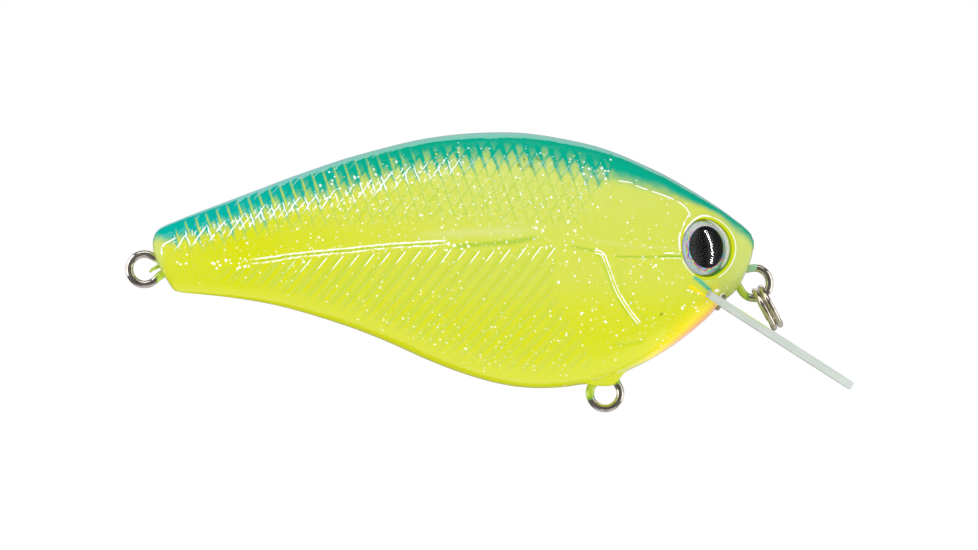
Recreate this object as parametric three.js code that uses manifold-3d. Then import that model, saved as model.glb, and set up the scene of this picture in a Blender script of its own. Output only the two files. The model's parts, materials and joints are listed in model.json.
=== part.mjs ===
// Crankbait fishing lure: a hollow two-piece moulded body with a flat diving lip, wire eyes for the
// line and two hooks, domed eyes, a split ring, ballast slugs and rattle balls.
//
// Millimetres. +X points to the nose, +Z up, +Y to the lure's own left side. The origin is the
// centre of the overall bounding box, which lies on the lure's mid-plane (y = 0).
import * as THREE from "three";
import { mergeVertices } from "three/addons/utils/BufferGeometryUtils.js";
import { ParametricGeometry } from "three/addons/geometries/ParametricGeometry.js";
import Module from "manifold-3d";

const wasm = await Module();
wasm.setup();

const { degToRad, smoothstep } = THREE.MathUtils;

// ---------------------------------------------------------------- materials
const material = (settings) => new THREE.MeshStandardMaterial(settings);
const PAINT = material({ color: 0xd8e41c, roughness: 0.18, metalness: 0 });
const BOARD = material({ color: 0xc9d6ca, roughness: 0.35, metalness: 0 });
const STEEL = material({ color: 0xb9b7ae, roughness: 0.22, metalness: 1 });
const FOIL = material({ color: 0xd5d8dc, roughness: 0.25, metalness: 0.8 });
const LENS = material({
  color: 0xf2f6f6,
  roughness: 0.05,
  metalness: 0,
  transparent: true,
  opacity: 0.3,
});
const TUNGSTEN = material({ color: 0x6e6c68, roughness: 0.5, metalness: 0.9 });
const BALL = material({ color: 0xc9c9c4, roughness: 0.15, metalness: 1 });

// ---------------------------------------------------------------- helpers
const lure = new THREE.Group();

function add(name, geometry, look, parent = lure) {
  const mesh = new THREE.Mesh(geometry, look);
  mesh.name = name;
  parent.add(mesh);
  return mesh;
}

// A Manifold solid from a closed three.js geometry, welded and freed of collapsed triangles.
function solid(geometry, matrix = new THREE.Matrix4()) {
  const flat = geometry.index ? geometry.toNonIndexed() : geometry;
  const bare = new THREE.BufferGeometry().setAttribute("position", flat.getAttribute("position"));
  const welded = mergeVertices(bare.applyMatrix4(matrix), 1e-4);
  const index = welded.index.array;
  const triangles = [];
  for (let i = 0; i < index.length; i += 3) {
    const [a, b, c] = index.subarray(i, i + 3);
    if (a !== b && b !== c && a !== c) triangles.push(a, b, c);
  }
  return new wasm.Manifold(
    new wasm.Mesh({
      numProp: 3,
      vertProperties: welded.attributes.position.array,
      triVerts: new Uint32Array(triangles),
    }),
  );
}

function geometryOf(made) {
  const mesh = made.getMesh();
  const geometry = new THREE.BufferGeometry()
    .setAttribute("position", new THREE.BufferAttribute(new Float32Array(mesh.vertProperties), 3))
    .setIndex(new THREE.BufferAttribute(new Uint32Array(mesh.triVerts), 1));
  geometry.computeVertexNormals();
  return geometry;
}

const at = (x, y, z) => new THREE.Matrix4().makeTranslation(x, y, z);
const Y_TO_Z = new THREE.Matrix4().makeRotationX(Math.PI / 2); // stands a cylinder up along Z

const cylinder = (radius, length, segments) =>
  new THREE.CylinderGeometry(radius, radius, length, segments);

const block = (x0, x1, y0, y1, z0, z1) =>
  solid(
    new THREE.BoxGeometry(x1 - x0, y1 - y0, z1 - z0),
    at((x0 + x1) / 2, (y0 + y1) / 2, (z0 + z1) / 2),
  );

// A cylinder along Y, centred on the mid-plane.
const crossRod = (x, z, radius, halfLength, segments = 20) =>
  solid(cylinder(radius, 2 * halfLength, segments), at(x, 0, z));

// A round wire swept along a path; it has 2 * arcSegments sides, the first corner turned by `turn`.
function wireAlong(extrudePath, radius, { steps, arcSegments, turn = 0 }) {
  const profile = new THREE.Shape();
  profile.absarc(0, 0, radius, turn, 2 * Math.PI + turn, false);
  return new THREE.ExtrudeGeometry(profile, {
    steps,
    curveSegments: arcSegments,
    bevelEnabled: false,
    extrudePath,
  });
}

// ---------------------------------------------------------------- wire eyes
const WIRE_R = 0.4;
const WIRE_CLEAR = 0.15; // channel clearance around a wire inside the body
const LOOP_R = 1.58; // centreline radius of the loop
const LOOP_HALF_ARC = 132; // degrees to each side of the loop's outermost point
const LOOP_STEPS = 14;
const LEG_LENGTH = 4.2; // loop centre to the start of the feet

// Loop centre, and the direction the loop faces, in degrees from +X towards +Z.
const LINE_TIE = { x: 27.54, z: -1.15, out: -25 };
const BELLY_EYE = { x: 12.03, z: -12.6, out: -96 };
const TAIL_EYE = { x: -35.87, z: 0.3, out: 187 };

// One leg from foot to neck: distance out from the loop centre, distance from the eye's axis.
const LEG = [
  [-LEG_LENGTH - 0.55, 1.75],
  [-LEG_LENGTH - 0.5, 1.15],
  [-LEG_LENGTH, 0.68],
  [-LEG_LENGTH * 0.75, 0.56],
  [-2.55, 0.56],
  [-1.8, 0.72],
];

// A keyhole-shaped wire: a round loop outside, a neck, and two feet spread apart inside the body.
function eyeWire(radius, eye, section) {
  const points = LEG.map(([along, aside]) => [along, -aside]);
  for (let i = 0; i <= LOOP_STEPS; i++) {
    const angle = degToRad(-LOOP_HALF_ARC + (2 * LOOP_HALF_ARC * i) / LOOP_STEPS);
    points.push([LOOP_R * Math.cos(angle), LOOP_R * Math.sin(angle)]);
  }
  points.push(...[...LEG].reverse());

  const out = degToRad(eye.out);
  const place = ([along, aside]) =>
    new THREE.Vector3(
      eye.x + along * Math.cos(out) - aside * Math.sin(out),
      0,
      eye.z + along * Math.sin(out) + aside * Math.cos(out),
    );
  const path = new THREE.CatmullRomCurve3(points.map(place), false, "centripetal");
  return wireAlong(path, radius, { steps: 36, ...section });
}

// The turn puts a flat of the eight-sided wire on the outside of the loop.
const eyeWirePiece = (eye) => eyeWire(WIRE_R, eye, { arcSegments: 4, turn: Math.PI / 8 });
const eyeChannel = (eye) => solid(eyeWire(WIRE_R + WIRE_CLEAR, eye, { arcSegments: 3 }));

// ---------------------------------------------------------------- diving lip dimensions
const LIP = { x: 31.3, z: -7.8 }; // reference point on the lip's centre plane
const LIP_TILT = degToRad(32.7); // below the horizontal
const LIP_T = 0.8;
const LIP_CLEAR = 0.1; // slot clearance on each face
const LIP_SLOT_END = -12.5; // rear end of the slot, along the lip
const LIP_SLOT_SIZE = 20; // length and width of the cut, past the body's surface
const PIN = { along: -8.7, radius: 0.38, length: 2.5, lift: 0.45 };
const PIN_HOLE_IN_BODY = { radius: PIN.radius + 0.1, length: 3.4, lift: 0.4 };
const PIN_HOLE_IN_LIP = { radius: PIN.radius + 0.08, length: 4, lift: 0 };
const PIN_SEGMENTS = 12;

// Left edge from rear to front: distance along the lip, half width.
const LIP_OUTLINE = [
  [-12.3, 3.6], [-11.9, 4.0], [-10.1, 4.0], [-10.1, 4.7],
  [-7.5, 5.6], [-4.0, 6.5], [4.7, 6.5], [7.5, 3.9],
];

const pinHole = ({ radius, length, lift }) =>
  solid(cylinder(radius, length, PIN_SEGMENTS), at(PIN.along, 0, lift).multiply(Y_TO_Z));

// ---------------------------------------------------------------- eye dimensions
const EYE_R = 2.8;
const EYE_SEGMENTS = 24;
const POCKET_CLEAR = 0.15; // radial
const POCKET_DEPTH = 1.0;
const POCKET_CUT = 6; // length of the pocket's cutter
const FOIL_T = 0.15;
const FOIL_LIFT = 0.1; // pocket floor to the foil's centre
const LENS_LIFT = 0.22; // pocket floor to the lens's flat back
const LENS_RIM = 0.12; // straight edge of the lens
const DOME_RISE = 0.83;
const DOME_STEPS = 4;
// Centre on the left side of the body and the direction the eye faces; mirrored for the right.
const EYE_CENTRE = new THREE.Vector3(22.5, 4.55, 2.52);
const EYE_FACING = new THREE.Vector3(0.57, 0.819, 0.066).normalize();

// Frame whose +Y is the eye's axis, moved outwards by `offset`; side is +1 left, -1 right.
function eyeFrame(side, offset) {
  const mirror = new THREE.Vector3(1, side, 1);
  const facing = EYE_FACING.clone().multiply(mirror);
  return {
    position: EYE_CENTRE.clone().multiply(mirror).addScaledVector(facing, offset),
    quaternion: new THREE.Quaternion().setFromUnitVectors(new THREE.Vector3(0, 1, 0), facing),
  };
}

function eyePocket(side) {
  const { position, quaternion } = eyeFrame(side, POCKET_CUT / 2 - POCKET_DEPTH);
  return solid(
    cylinder(EYE_R + POCKET_CLEAR, POCKET_CUT, EYE_SEGMENTS),
    new THREE.Matrix4().compose(position, quaternion, new THREE.Vector3(1, 1, 1)),
  );
}

// ---------------------------------------------------------------- balls and slugs
const BALL_CLEAR = 0.2; // radial clearance of a ball in its tube
const SLUG_CLEAR = 0.1; // radial clearance of a slug in its seat
const SLUG_END_PLAY = 0.3; // seat length less slug length
const TUBE_WALL = 0.75;
const KNOCKER = { radius: 2.6, segments: [16, 10] };
const RATTLE = { radius: 1.6, segments: [12, 8] };

// halfLength is that of the transverse tube or seat.
const BALLS = [
  { name: "knocker_ball", x: 5.3, z: 2.2, halfLength: 6.3, ...KNOCKER },
  { name: "rattle_ball_front", x: -5.2, z: -1.2, halfLength: 5.5, ...RATTLE },
  { name: "rattle_ball_middle", x: -13.2, z: 1.6, halfLength: 4.6, ...RATTLE },
  { name: "rattle_ball_rear", x: -17.8, z: 2.4, halfLength: 3.8, ...RATTLE },
];
const SLUGS = [
  { name: "front_ballast_slug", x: 15.6, z: -5.0, halfLength: 4.4, radius: 2.4 },
  { name: "rear_ballast_slug", x: 5.3, z: -8.2, halfLength: 3.6, radius: 1.8 },
];

// ---------------------------------------------------------------- body shells
const WALL = 1.1; // at the sides
const WALL_Z = WALL * 1.15; // at the top and bottom
const PARTING = 0.01; // each half stands this far from the mid-plane
const SECTION_POWER = 2.4; // superellipse exponent of the cross-section
const CAVITY = { from: -26.5, to: 17.6, steps: 18, endInset: 0.8 }; // tail and head are solid
const BULKHEADS = [-20.4, -10.6, 0.2, 10.2]; // x of each
const BULKHEAD_T = 1;
const ACROSS = 9; // half length of features that run right across the cavity
const BELOW = -14; // z beneath the whole body
const ABOVE = 16; // z over the whole body
const BELLY_BLOCK = { from: 9.7, to: 18.2, top: -5.4 }; // solid around the belly eye's feet
const DOWELS = [[17.2, 7.0], [-28.6, 2.4], [11.4, 9.6]]; // x, z
const DOWEL = { radius: 0.8, half: 1.2, holeRadius: 0.95, holeHalf: 1.5, bossRadius: 1.7 };
const DOWEL_SEGMENTS = 12;

// Body stations from tail to nose: x, top z, bottom z, half width, z of the widest point.
const STATIONS = [
  [-34.92, 3.59, 2.08, 1.15, 2.8], [-34.8, 3.95, 1.61, 1.55, 2.7],
  [-34.58, 4.26, 1.09, 1.8, 2.6], [-34.22, 4.58, 0.36, 1.98, 2.45],
  [-33.7, 4.86, -0.57, 2.1, 2.3], [-33.18, 5.08, -1.4, 2.18, 2.2],
  [-32.76, 5.24, -1.91, 2.25, 2.15], [-32.14, 5.5, -2.1, 2.35, 2.15],
  [-30.06, 6.31, -2.31, 2.75, 2.2], [-27.98, 7.09, -2.53, 3.2, 2.35],
  [-25.9, 7.88, -2.8, 3.65, 2.55], [-23.82, 8.66, -3.14, 4.1, 2.75],
  [-21.74, 9.46, -3.57, 4.52, 2.95], [-19.66, 10.22, -4.12, 4.92, 3.1],
  [-17.58, 10.94, -4.74, 5.3, 3.2], [-15.5, 11.64, -5.41, 5.67, 3.25],
  [-13.42, 12.25, -6.14, 6.0, 3.28], [-11.34, 12.81, -6.97, 6.3, 3.25],
  [-9.26, 13.34, -7.87, 6.58, 3.2], [-7.18, 13.79, -8.82, 6.82, 3.1],
  [-5.1, 14.12, -9.69, 7.03, 2.95], [-3.02, 14.35, -10.46, 7.2, 2.75],
  [-0.94, 14.49, -11.12, 7.34, 2.55], [1.14, 14.54, -11.64, 7.43, 2.35],
  [3.22, 14.48, -11.97, 7.49, 2.15], [5.3, 14.25, -12.08, 7.52, 1.95],
  [7.38, 13.9, -11.99, 7.52, 1.8], [9.46, 13.48, -11.71, 7.48, 1.68],
  [11.54, 12.94, -11.25, 7.4, 1.6], [13.62, 12.19, -10.57, 7.25, 1.55],
  [15.7, 11.29, -9.63, 7.05, 1.55], [17.78, 10.32, -8.49, 6.75, 1.6],
  [19.34, 9.48, -7.46, 6.25, 1.7], [20.9, 8.55, -6.28, 5.6, 1.85],
  [21.94, 7.92, -5.41, 5.05, 1.95], [22.98, 7.25, -4.45, 4.45, 2.05],
  [23.82, 6.7, -3.43, 3.95, 2.2], [24.65, 6.12, -2.77, 3.42, 2.35],
  [25.38, 5.56, -2.2, 2.95, 2.5], [26.0, 5.1, -1.4, 2.55, 2.6],
  [26.52, 4.66, -0.36, 2.2, 2.7], [26.94, 4.26, 0.62, 1.85, 2.75],
  [27.25, 3.85, 1.51, 1.45, 2.75], [27.41, 3.38, 2.29, 1.0, 2.75],
];

// The body's station at an x inside the table, by straight interpolation.
function stationAt(x) {
  const next = STATIONS.findIndex((row) => x <= row[0]);
  const before = STATIONS[next - 1];
  const after = STATIONS[next];
  const share = (x - before[0]) / (after[0] - before[0]);
  return after.map((value, column) => before[column] + share * (value - before[column]));
}

// A closed superellipse loft through rows like those of STATIONS, each end drawn to a point.
function loft(stations, around) {
  const count = stations.length;
  const bulge = (value) => Math.sign(value) * Math.abs(value) ** (2 / SECTION_POWER);
  const point = (u, v, target) => {
    const ring = Math.round(u * (count + 1));
    const [x, top, bottom, half, wide] = stations[Math.min(Math.max(ring - 1, 0), count - 1)];
    if (ring === 0 || ring === count + 1) return target.set(x, 0, (top + bottom) / 2);
    // Counted backwards so that the faces point outwards.
    const step = (around - Math.round(v * around)) % around;
    const angle = (2 * Math.PI * step) / around;
    // Exact zeros on the axes: the power would magnify rounding errors.
    const sine = step === 0 || 2 * step === around ? 0 : Math.sin(angle);
    const cosine = 4 * step === around || 4 * step === 3 * around ? 0 : Math.cos(angle);
    const height = sine > 0 ? top - wide : wide - bottom;
    return target.set(x, half * bulge(cosine), wide + height * bulge(sine));
  };
  return solid(new ParametricGeometry(point, count + 1, around));
}

// A tapered oval boss under the belly carries the belly eye.
function makeBellyBoss() {
  const flatten = new THREE.Matrix4().makeScale(1, 0.62, 1);
  return solid(
    new THREE.CylinderGeometry(2.4, 1.75, 3, 16),
    at(11.85, 0, -10.36).multiply(flatten).multiply(Y_TO_Z),
  );
}

function makeCavity() {
  const stations = [];
  for (let i = 0; i <= CAVITY.steps; i++) {
    const x = CAVITY.from + ((CAVITY.to - CAVITY.from) * i) / CAVITY.steps;
    const [, top, bottom, half, wide] = stationAt(x);
    const inset = i === 0 || i === CAVITY.steps ? CAVITY.endInset : 0;
    stations.push([x, top - WALL_Z - inset, bottom + WALL_Z + inset, half - WALL - inset, wide]);
  }
  let cavity = loft(stations, 20);

  // Whatever is subtracted from the cavity stays as plastic.
  const keep = (x0, x1, top) => {
    cavity = cavity.subtract(block(x0, x1, -ACROSS, ACROSS, BELOW, top));
  };
  for (const x of BULKHEADS) keep(x - BULKHEAD_T / 2, x + BULKHEAD_T / 2, ABOVE);
  keep(BELLY_BLOCK.from, BELLY_BLOCK.to, BELLY_BLOCK.top);
  for (const [x, z] of DOWELS)
    cavity = cavity.subtract(crossRod(x, z, DOWEL.bossRadius, ACROSS, DOWEL_SEGMENTS));

  const addTube = ({ x, z, radius, halfLength }, clearance) => {
    const bore = radius + clearance;
    cavity = cavity
      .subtract(crossRod(x, z, bore + TUBE_WALL, ACROSS))
      .add(crossRod(x, z, bore, halfLength));
  };
  for (const ball of BALLS) addTube(ball, BALL_CLEAR);
  for (const slug of SLUGS) addTube(slug, SLUG_CLEAR);
  return cavity;
}

// Slot for the lip and hole for its pin.
function makeLipCuts() {
  const frame = at(LIP.x, 0, LIP.z).multiply(new THREE.Matrix4().makeRotationY(LIP_TILT));
  const slot = solid(
    new THREE.BoxGeometry(LIP_SLOT_SIZE, LIP_SLOT_SIZE, LIP_T + 2 * LIP_CLEAR),
    frame.clone().multiply(at(LIP_SLOT_END + LIP_SLOT_SIZE / 2, 0, 0)),
  );
  const { radius, length, lift } = PIN_HOLE_IN_BODY;
  const hole = solid(
    cylinder(radius, length, PIN_SEGMENTS),
    frame.clone().multiply(at(PIN.along, 0, lift)).multiply(Y_TO_Z),
  );
  return [slot, hole];
}

function addShells() {
  let body = loft(STATIONS, 24).add(makeBellyBoss()).subtract(makeCavity());
  const cuts = [
    ...[LINE_TIE, BELLY_EYE, TAIL_EYE].map(eyeChannel),
    ...makeLipCuts(),
    ...[1, -1].map(eyePocket),
  ];
  for (const cut of cuts) body = body.subtract(cut);

  let left = body.intersect(block(-60, 60, PARTING, 20, -40, 40));
  let right = body.intersect(block(-60, 60, -20, -PARTING, -40, 40));
  // Dowels stand on the left half and enter holes in the right.
  for (const [x, z] of DOWELS) {
    left = left.add(crossRod(x, z, DOWEL.radius, DOWEL.half, DOWEL_SEGMENTS));
    right = right.subtract(crossRod(x, z, DOWEL.holeRadius, DOWEL.holeHalf, DOWEL_SEGMENTS));
  }
  add("left_body_shell", geometryOf(left), PAINT);
  add("right_body_shell", geometryOf(right), PAINT);
}

// ---------------------------------------------------------------- the other pieces
// Diving lip and its retaining pin, in the lip's own tilted frame.
function addLip() {
  const group = new THREE.Group();
  group.position.set(LIP.x, 0, LIP.z);
  group.rotation.y = LIP_TILT;
  lure.add(group);

  const rightEdge = LIP_OUTLINE.map(([along, half]) => [along, -half]).reverse();
  const outline = [...LIP_OUTLINE, ...rightEdge].map(([x, y]) => new THREE.Vector2(x, y));
  const board = solid(
    new THREE.ExtrudeGeometry(new THREE.Shape(outline), { depth: LIP_T, bevelEnabled: false }),
    at(0, 0, -LIP_T / 2),
  ).subtract(pinHole(PIN_HOLE_IN_LIP));
  add("diving_lip", geometryOf(board), BOARD, group);

  const pinGeometry = cylinder(PIN.radius, PIN.length, PIN_SEGMENTS);
  const pin = add("lip_retaining_pin", pinGeometry, STEEL, group);
  pin.position.set(PIN.along, 0, PIN.lift);
  pin.rotation.x = Math.PI / 2;
}

// Split ring: two flat coils about the ring's own Z axis, joined by a short jog.
const RING_WIRE_R = 0.32;
const RING_R = 2.17; // centreline radius
const RING_STEP = 0.35; // half the distance between the coils
const RING_END_GAP = 0.02; // turns left out at each end of the wire
const RING_START = 0.9; // radians, where the two turns begin
const RING_JOG = 0.5; // radians, half the length of the jog
const RING_REST = degToRad(-62); // direction it hangs in from the line tie's loop centre
const RING_HANG = 0.74; // line tie's loop centre to the ring's nearest centreline

class SplitRingCurve extends THREE.Curve {
  getPoint(t, target = new THREE.Vector3()) {
    const turned = 2 * Math.PI * (RING_END_GAP + (2 - 2 * RING_END_GAP) * t);
    const jog = smoothstep(turned, 2 * Math.PI - RING_JOG, 2 * Math.PI + RING_JOG);
    const angle = turned + RING_START;
    return target.set(
      RING_R * Math.cos(angle),
      RING_R * Math.sin(angle),
      RING_STEP * (2 * jog - 1),
    );
  }
}

function addSplitRing() {
  const geometry = wireAlong(new SplitRingCurve(), RING_WIRE_R, { steps: 64, arcSegments: 4 });
  const ring = add("split_ring", geometry, STEEL);
  const hang = new THREE.Vector3(Math.cos(RING_REST), 0, Math.sin(RING_REST));
  const across = new THREE.Vector3(0, 1, 0);
  // The ring's axis lies in the mid-plane, square to the direction it hangs in.
  const axis = new THREE.Vector3(-hang.z, 0, hang.x);
  ring.position.set(LINE_TIE.x, 0, LINE_TIE.z).addScaledVector(hang, RING_HANG + RING_R);
  ring.quaternion.setFromRotationMatrix(new THREE.Matrix4().makeBasis(hang, across, axis));
}

// A foil disc near the pocket's floor under a clear dome.
function addEye(side, label) {
  const place = (mesh, lift) => {
    const { position, quaternion } = eyeFrame(side, -POCKET_DEPTH + lift);
    mesh.position.copy(position);
    mesh.quaternion.copy(quaternion);
  };
  place(add(label + "_eye_foil", cylinder(EYE_R, FOIL_T, EYE_SEGMENTS), FOIL), FOIL_LIFT);

  const profile = [[0, 0], [EYE_R, 0], [EYE_R, LENS_RIM]];
  for (let i = 1; i <= DOME_STEPS; i++) {
    const angle = (i / DOME_STEPS) * (Math.PI / 2);
    const radius = i === DOME_STEPS ? 0 : EYE_R * Math.cos(angle);
    profile.push([radius, LENS_RIM + DOME_RISE * Math.sin(angle)]);
  }
  const points = profile.map(([radius, y]) => new THREE.Vector2(radius, y));
  const lens = new THREE.LatheGeometry(points, EYE_SEGMENTS);
  place(add(label + "_eye_lens", lens, LENS), LENS_LIFT);
}

function addSlug({ name, x, z, radius, halfLength }) {
  const geometry = cylinder(radius, 2 * halfLength - SLUG_END_PLAY, 20);
  add(name, geometry, TUNGSTEN).position.set(x, 0, z);
}

function addBall({ name, x, z, radius, segments }) {
  add(name, new THREE.SphereGeometry(radius, ...segments), BALL).position.set(x, 0, z);
}

// ---------------------------------------------------------------- assembly
addShells();
addLip();
add("line_tie_eye", eyeWirePiece(LINE_TIE), STEEL);
add("belly_hook_eye", eyeWirePiece(BELLY_EYE), STEEL);
add("tail_hook_eye", eyeWirePiece(TAIL_EYE), STEEL);
addSplitRing();
addEye(1, "left");
addEye(-1, "right");
SLUGS.forEach(addSlug);
BALLS.forEach(addBall);

export default lure;
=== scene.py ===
"""A fishing lure: two painted shells, diving lip, foil eyes, wire eyes and a split ring.

The nose points to +X and the back to +Z; the left side is +Y and the camera looks along +Y.
Lengths are in mm unless a comment says otherwise, and meshes are written in metres.
"""
import json
import math
from functools import reduce
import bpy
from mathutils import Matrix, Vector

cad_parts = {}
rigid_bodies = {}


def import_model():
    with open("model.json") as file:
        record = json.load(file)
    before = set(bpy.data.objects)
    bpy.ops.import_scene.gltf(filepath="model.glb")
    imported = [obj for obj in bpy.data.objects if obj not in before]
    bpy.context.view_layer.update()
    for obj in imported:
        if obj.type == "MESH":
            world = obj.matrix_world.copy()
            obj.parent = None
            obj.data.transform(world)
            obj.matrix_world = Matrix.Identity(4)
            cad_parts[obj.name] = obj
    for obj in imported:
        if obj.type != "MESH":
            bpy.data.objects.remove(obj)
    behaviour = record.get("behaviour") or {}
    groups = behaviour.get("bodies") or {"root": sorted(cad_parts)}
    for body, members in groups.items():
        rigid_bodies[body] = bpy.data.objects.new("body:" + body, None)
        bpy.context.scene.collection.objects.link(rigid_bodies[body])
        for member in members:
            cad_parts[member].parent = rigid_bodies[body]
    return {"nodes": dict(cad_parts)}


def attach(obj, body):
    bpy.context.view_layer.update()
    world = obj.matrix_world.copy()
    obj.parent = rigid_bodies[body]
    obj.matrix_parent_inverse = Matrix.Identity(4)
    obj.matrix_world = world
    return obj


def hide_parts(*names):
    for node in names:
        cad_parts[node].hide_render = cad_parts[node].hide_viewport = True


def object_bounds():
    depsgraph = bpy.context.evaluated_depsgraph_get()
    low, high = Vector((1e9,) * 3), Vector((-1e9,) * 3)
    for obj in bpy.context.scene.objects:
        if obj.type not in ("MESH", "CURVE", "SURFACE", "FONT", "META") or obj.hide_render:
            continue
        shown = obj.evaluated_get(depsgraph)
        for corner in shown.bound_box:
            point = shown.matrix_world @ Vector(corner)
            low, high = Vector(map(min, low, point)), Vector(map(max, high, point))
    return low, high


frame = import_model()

from types import SimpleNamespace

import bpy
import numpy as np
from mathutils import Matrix, Vector, geometry

CAD_BOX = [list(map(float, c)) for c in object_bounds()]
MM = 0.001
# unit of the painted line gaps stored on the mesh, and of the relief heights in the paint
PAINT_STEP = 0.104
FAR = 40.0  # painted line gap where no line is near

# The body's vertex layers: name in this script -> attribute name on the mesh
LAYERS = {
    "slant_a": "ua",  # phase of the first family of scale lines
    "slant_b": "ub",  # phase of the second family
    "scales": "sm",
    "rib_phase": "rf",
    "ribs": "rm",
    "lateral_gap": "dl",  # a gap is the signed distance to a line, in paint steps
    "lateral": "ml",
    "gill_gap": "dg",
    "gill": "mg",
    "plate_gap": "dh",
    "plate": "mh",
    "cheek_gap": "dc",
    "cheek": "mc",
    "teal": "tl",  # 0 in the solid teal of the back, 1 where it has faded out
    "thin": "thin",  # where teal is missing from the scale steps
    # paler ground; lifted on the nose as painted light and on the eye's rim crest as a painted
    # highlight
    "pale": "pale",
    "line": "line",  # painted shade: soft dark lines in grooves and round the eye's foil
    "ridge": "ridge",  # painted highlight: soft light lines along low ridges
    "orange": "orange",
    "edge": "edge",  # painted shade: a dark green line along the rear belly edge and at the foot of the eye socket's lower front
    # a teal line along the lip slot's upper edge, and painted shade at the foot of the eye
    # socket's lower front wall
    "glaze": "glaze",
    "flake": "flake",
    "strokes": "st",  # painted highlight strokes on the scales
    # painted highlights on the rib tops
    "rib_tips": "rt",
    # painted glints, also taken by the larger flakes
    "glints": "gl",
    "grain": "grain",
    "lattice": "lat",  # fine lines of the scales below the teal
    "bare": "bare",
    "dark": "dark",
    "front": "front",
}


# ---------------------------------------------------------------- curves
def smooth(low, high, value):
    """Smooth step from 0 at low to 1 at high."""
    t = np.clip((value - low) / (high - low), 0, 1)
    return t * t * (3 - 2 * t)


def window(value, rise, fall):
    """1 between two smooth steps, up over rise and down over fall."""
    return smooth(*rise, value) * (1 - smooth(*fall, value))


def bead(value, at, width):
    return np.exp(-(((value - at) / width) ** 2))


def pchip(knots, values, x):
    """Monotone cubic interpolation."""
    step = np.diff(knots)
    rise = np.diff(values) / step
    slope = np.zeros_like(values)
    w1 = 2 * step[1:] + step[:-1]
    w2 = step[1:] + 2 * step[:-1]
    same = rise[:-1] * rise[1:] > 0
    weighted = w1[same] / rise[:-1][same] + w2[same] / rise[1:][same]
    slope[1:-1][same] = (w1 + w2)[same] / weighted
    slope[0], slope[-1] = rise[0], rise[-1]
    i = np.clip(np.searchsorted(knots, x) - 1, 0, len(knots) - 2)
    t = np.clip((x - knots[i]) / step[i], 0, 1)
    return (
        values[i] * (1 + 2 * t) * (1 - t) ** 2
        + step[i] * slope[i] * t * (1 - t) ** 2
        + values[i + 1] * t * t * (3 - 2 * t)
        + step[i] * slope[i + 1] * t * t * (t - 1)
    )


def catmull(points, samples):
    """Centripetal Catmull-Rom curve, with a number of samples per span."""
    p = np.asarray(points, float)
    p = np.vstack([2 * p[0] - p[1], p, 2 * p[-1] - p[-2]])
    out = []
    for i in range(1, len(p) - 2):
        a, b, c, d = p[i - 1 : i + 3]
        t0 = 0.0
        t1 = t0 + np.linalg.norm(b - a) ** 0.5
        t2 = t1 + np.linalg.norm(c - b) ** 0.5
        t3 = t2 + np.linalg.norm(d - c) ** 0.5
        for t in np.linspace(t1, t2, samples, endpoint=False):
            a1 = (t1 - t) / (t1 - t0) * a + (t - t0) / (t1 - t0) * b
            a2 = (t2 - t) / (t2 - t1) * b + (t - t1) / (t2 - t1) * c
            a3 = (t3 - t) / (t3 - t2) * c + (t - t2) / (t3 - t2) * d
            b1 = (t2 - t) / (t2 - t0) * a1 + (t - t0) / (t2 - t0) * a2
            b2 = (t3 - t) / (t3 - t1) * a2 + (t - t1) / (t3 - t1) * a3
            out.append((t2 - t) / (t2 - t1) * b1 + (t - t1) / (t2 - t1) * b2)
    out.append(p[-2])
    return np.array(out)


def evenly(path, count):
    """Resample a path at even distances."""
    run = np.r_[0, np.cumsum(np.linalg.norm(np.diff(path, axis=0), axis=1))]
    wanted = np.linspace(0, run[-1], count)
    return np.stack([np.interp(wanted, run, path[:, k]) for k in range(path.shape[1])], 1)


# ---------------------------------------------------------------- meshes
def new_object(name, verts, faces):
    mesh = bpy.data.meshes.new(name)
    mesh.from_pydata((np.asarray(verts, float) * MM).tolist(), [], faces)
    mesh.validate()
    mesh.shade_smooth()
    ob = bpy.data.objects.new(name, mesh)
    bpy.context.scene.collection.objects.link(ob)
    return ob


def hand_over(ob, mat, node, slot, body="lure_body"):
    ob.data.materials.append(mat)
    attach(ob, body)
    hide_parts(node)


def set_attribute(ob, name, values):
    attribute = ob.data.attributes.new(name, "FLOAT", "POINT")
    attribute.data.foreach_set("value", np.asarray(values, np.float32))


def grid_faces(rows, columns, start, flip):
    i = np.arange(rows - 1)[:, None] * columns + np.arange(columns - 1)[None, :] + start
    quads = np.stack([i, i + 1, i + columns + 1, i + columns], -1).reshape(-1, 4)
    return quads[:, ::-1] if flip else quads


def sweep(path, radius, sides):
    """A round tube with rounded ends along a path."""
    p = np.asarray(path, float)
    radii = np.broadcast_to(np.asarray(radius, float), (len(p),))
    tangent = np.gradient(p, axis=0)
    tangent /= np.linalg.norm(tangent, axis=1)[:, None]
    normal = np.cross(tangent[0], [0.3, 0.8, 0.52])
    angle = np.linspace(0, 2 * np.pi, sides, endpoint=False)[:, None]
    verts = []
    for k in range(len(p)):
        normal = normal - tangent[k] * (normal @ tangent[k])
        normal = normal / np.linalg.norm(normal)
        other = np.cross(tangent[k], normal)
        verts.append(p[k] + radii[k] * (np.cos(angle) * normal + np.sin(angle) * other))
    verts = np.vstack(verts)
    faces = []
    for k in range(len(p) - 1):
        for j in range(sides):
            a, b = k * sides + j, k * sides + (j + 1) % sides
            faces.append((a, b, b + sides, a + sides))
    # each end: two shrinking rings and a point
    for end, sign in ((0, -1), (len(p) - 1, 1)):
        base = end * sides
        push_out = sign * tangent[end] * radii[end]
        last = list(range(base, base + sides))
        for shrink, push in ((0.82, 0.32), (0.45, 0.5)):
            start = len(verts)
            ring = p[end] + (verts[base : base + sides] - p[end]) * shrink + push_out * push
            verts = np.vstack([verts, ring])
            current = list(range(start, start + sides))
            for j in range(sides):
                k = (j + 1) % sides
                quad = (last[j], last[k], current[k], current[j])
                faces.append(quad[::sign])
            last = current
        verts = np.vstack([verts, p[end] + push_out * 0.56])
        tip = len(verts) - 1
        for j in range(sides):
            faces.append((last[j], last[(j + 1) % sides], tip)[::sign])
    return verts, faces


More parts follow.
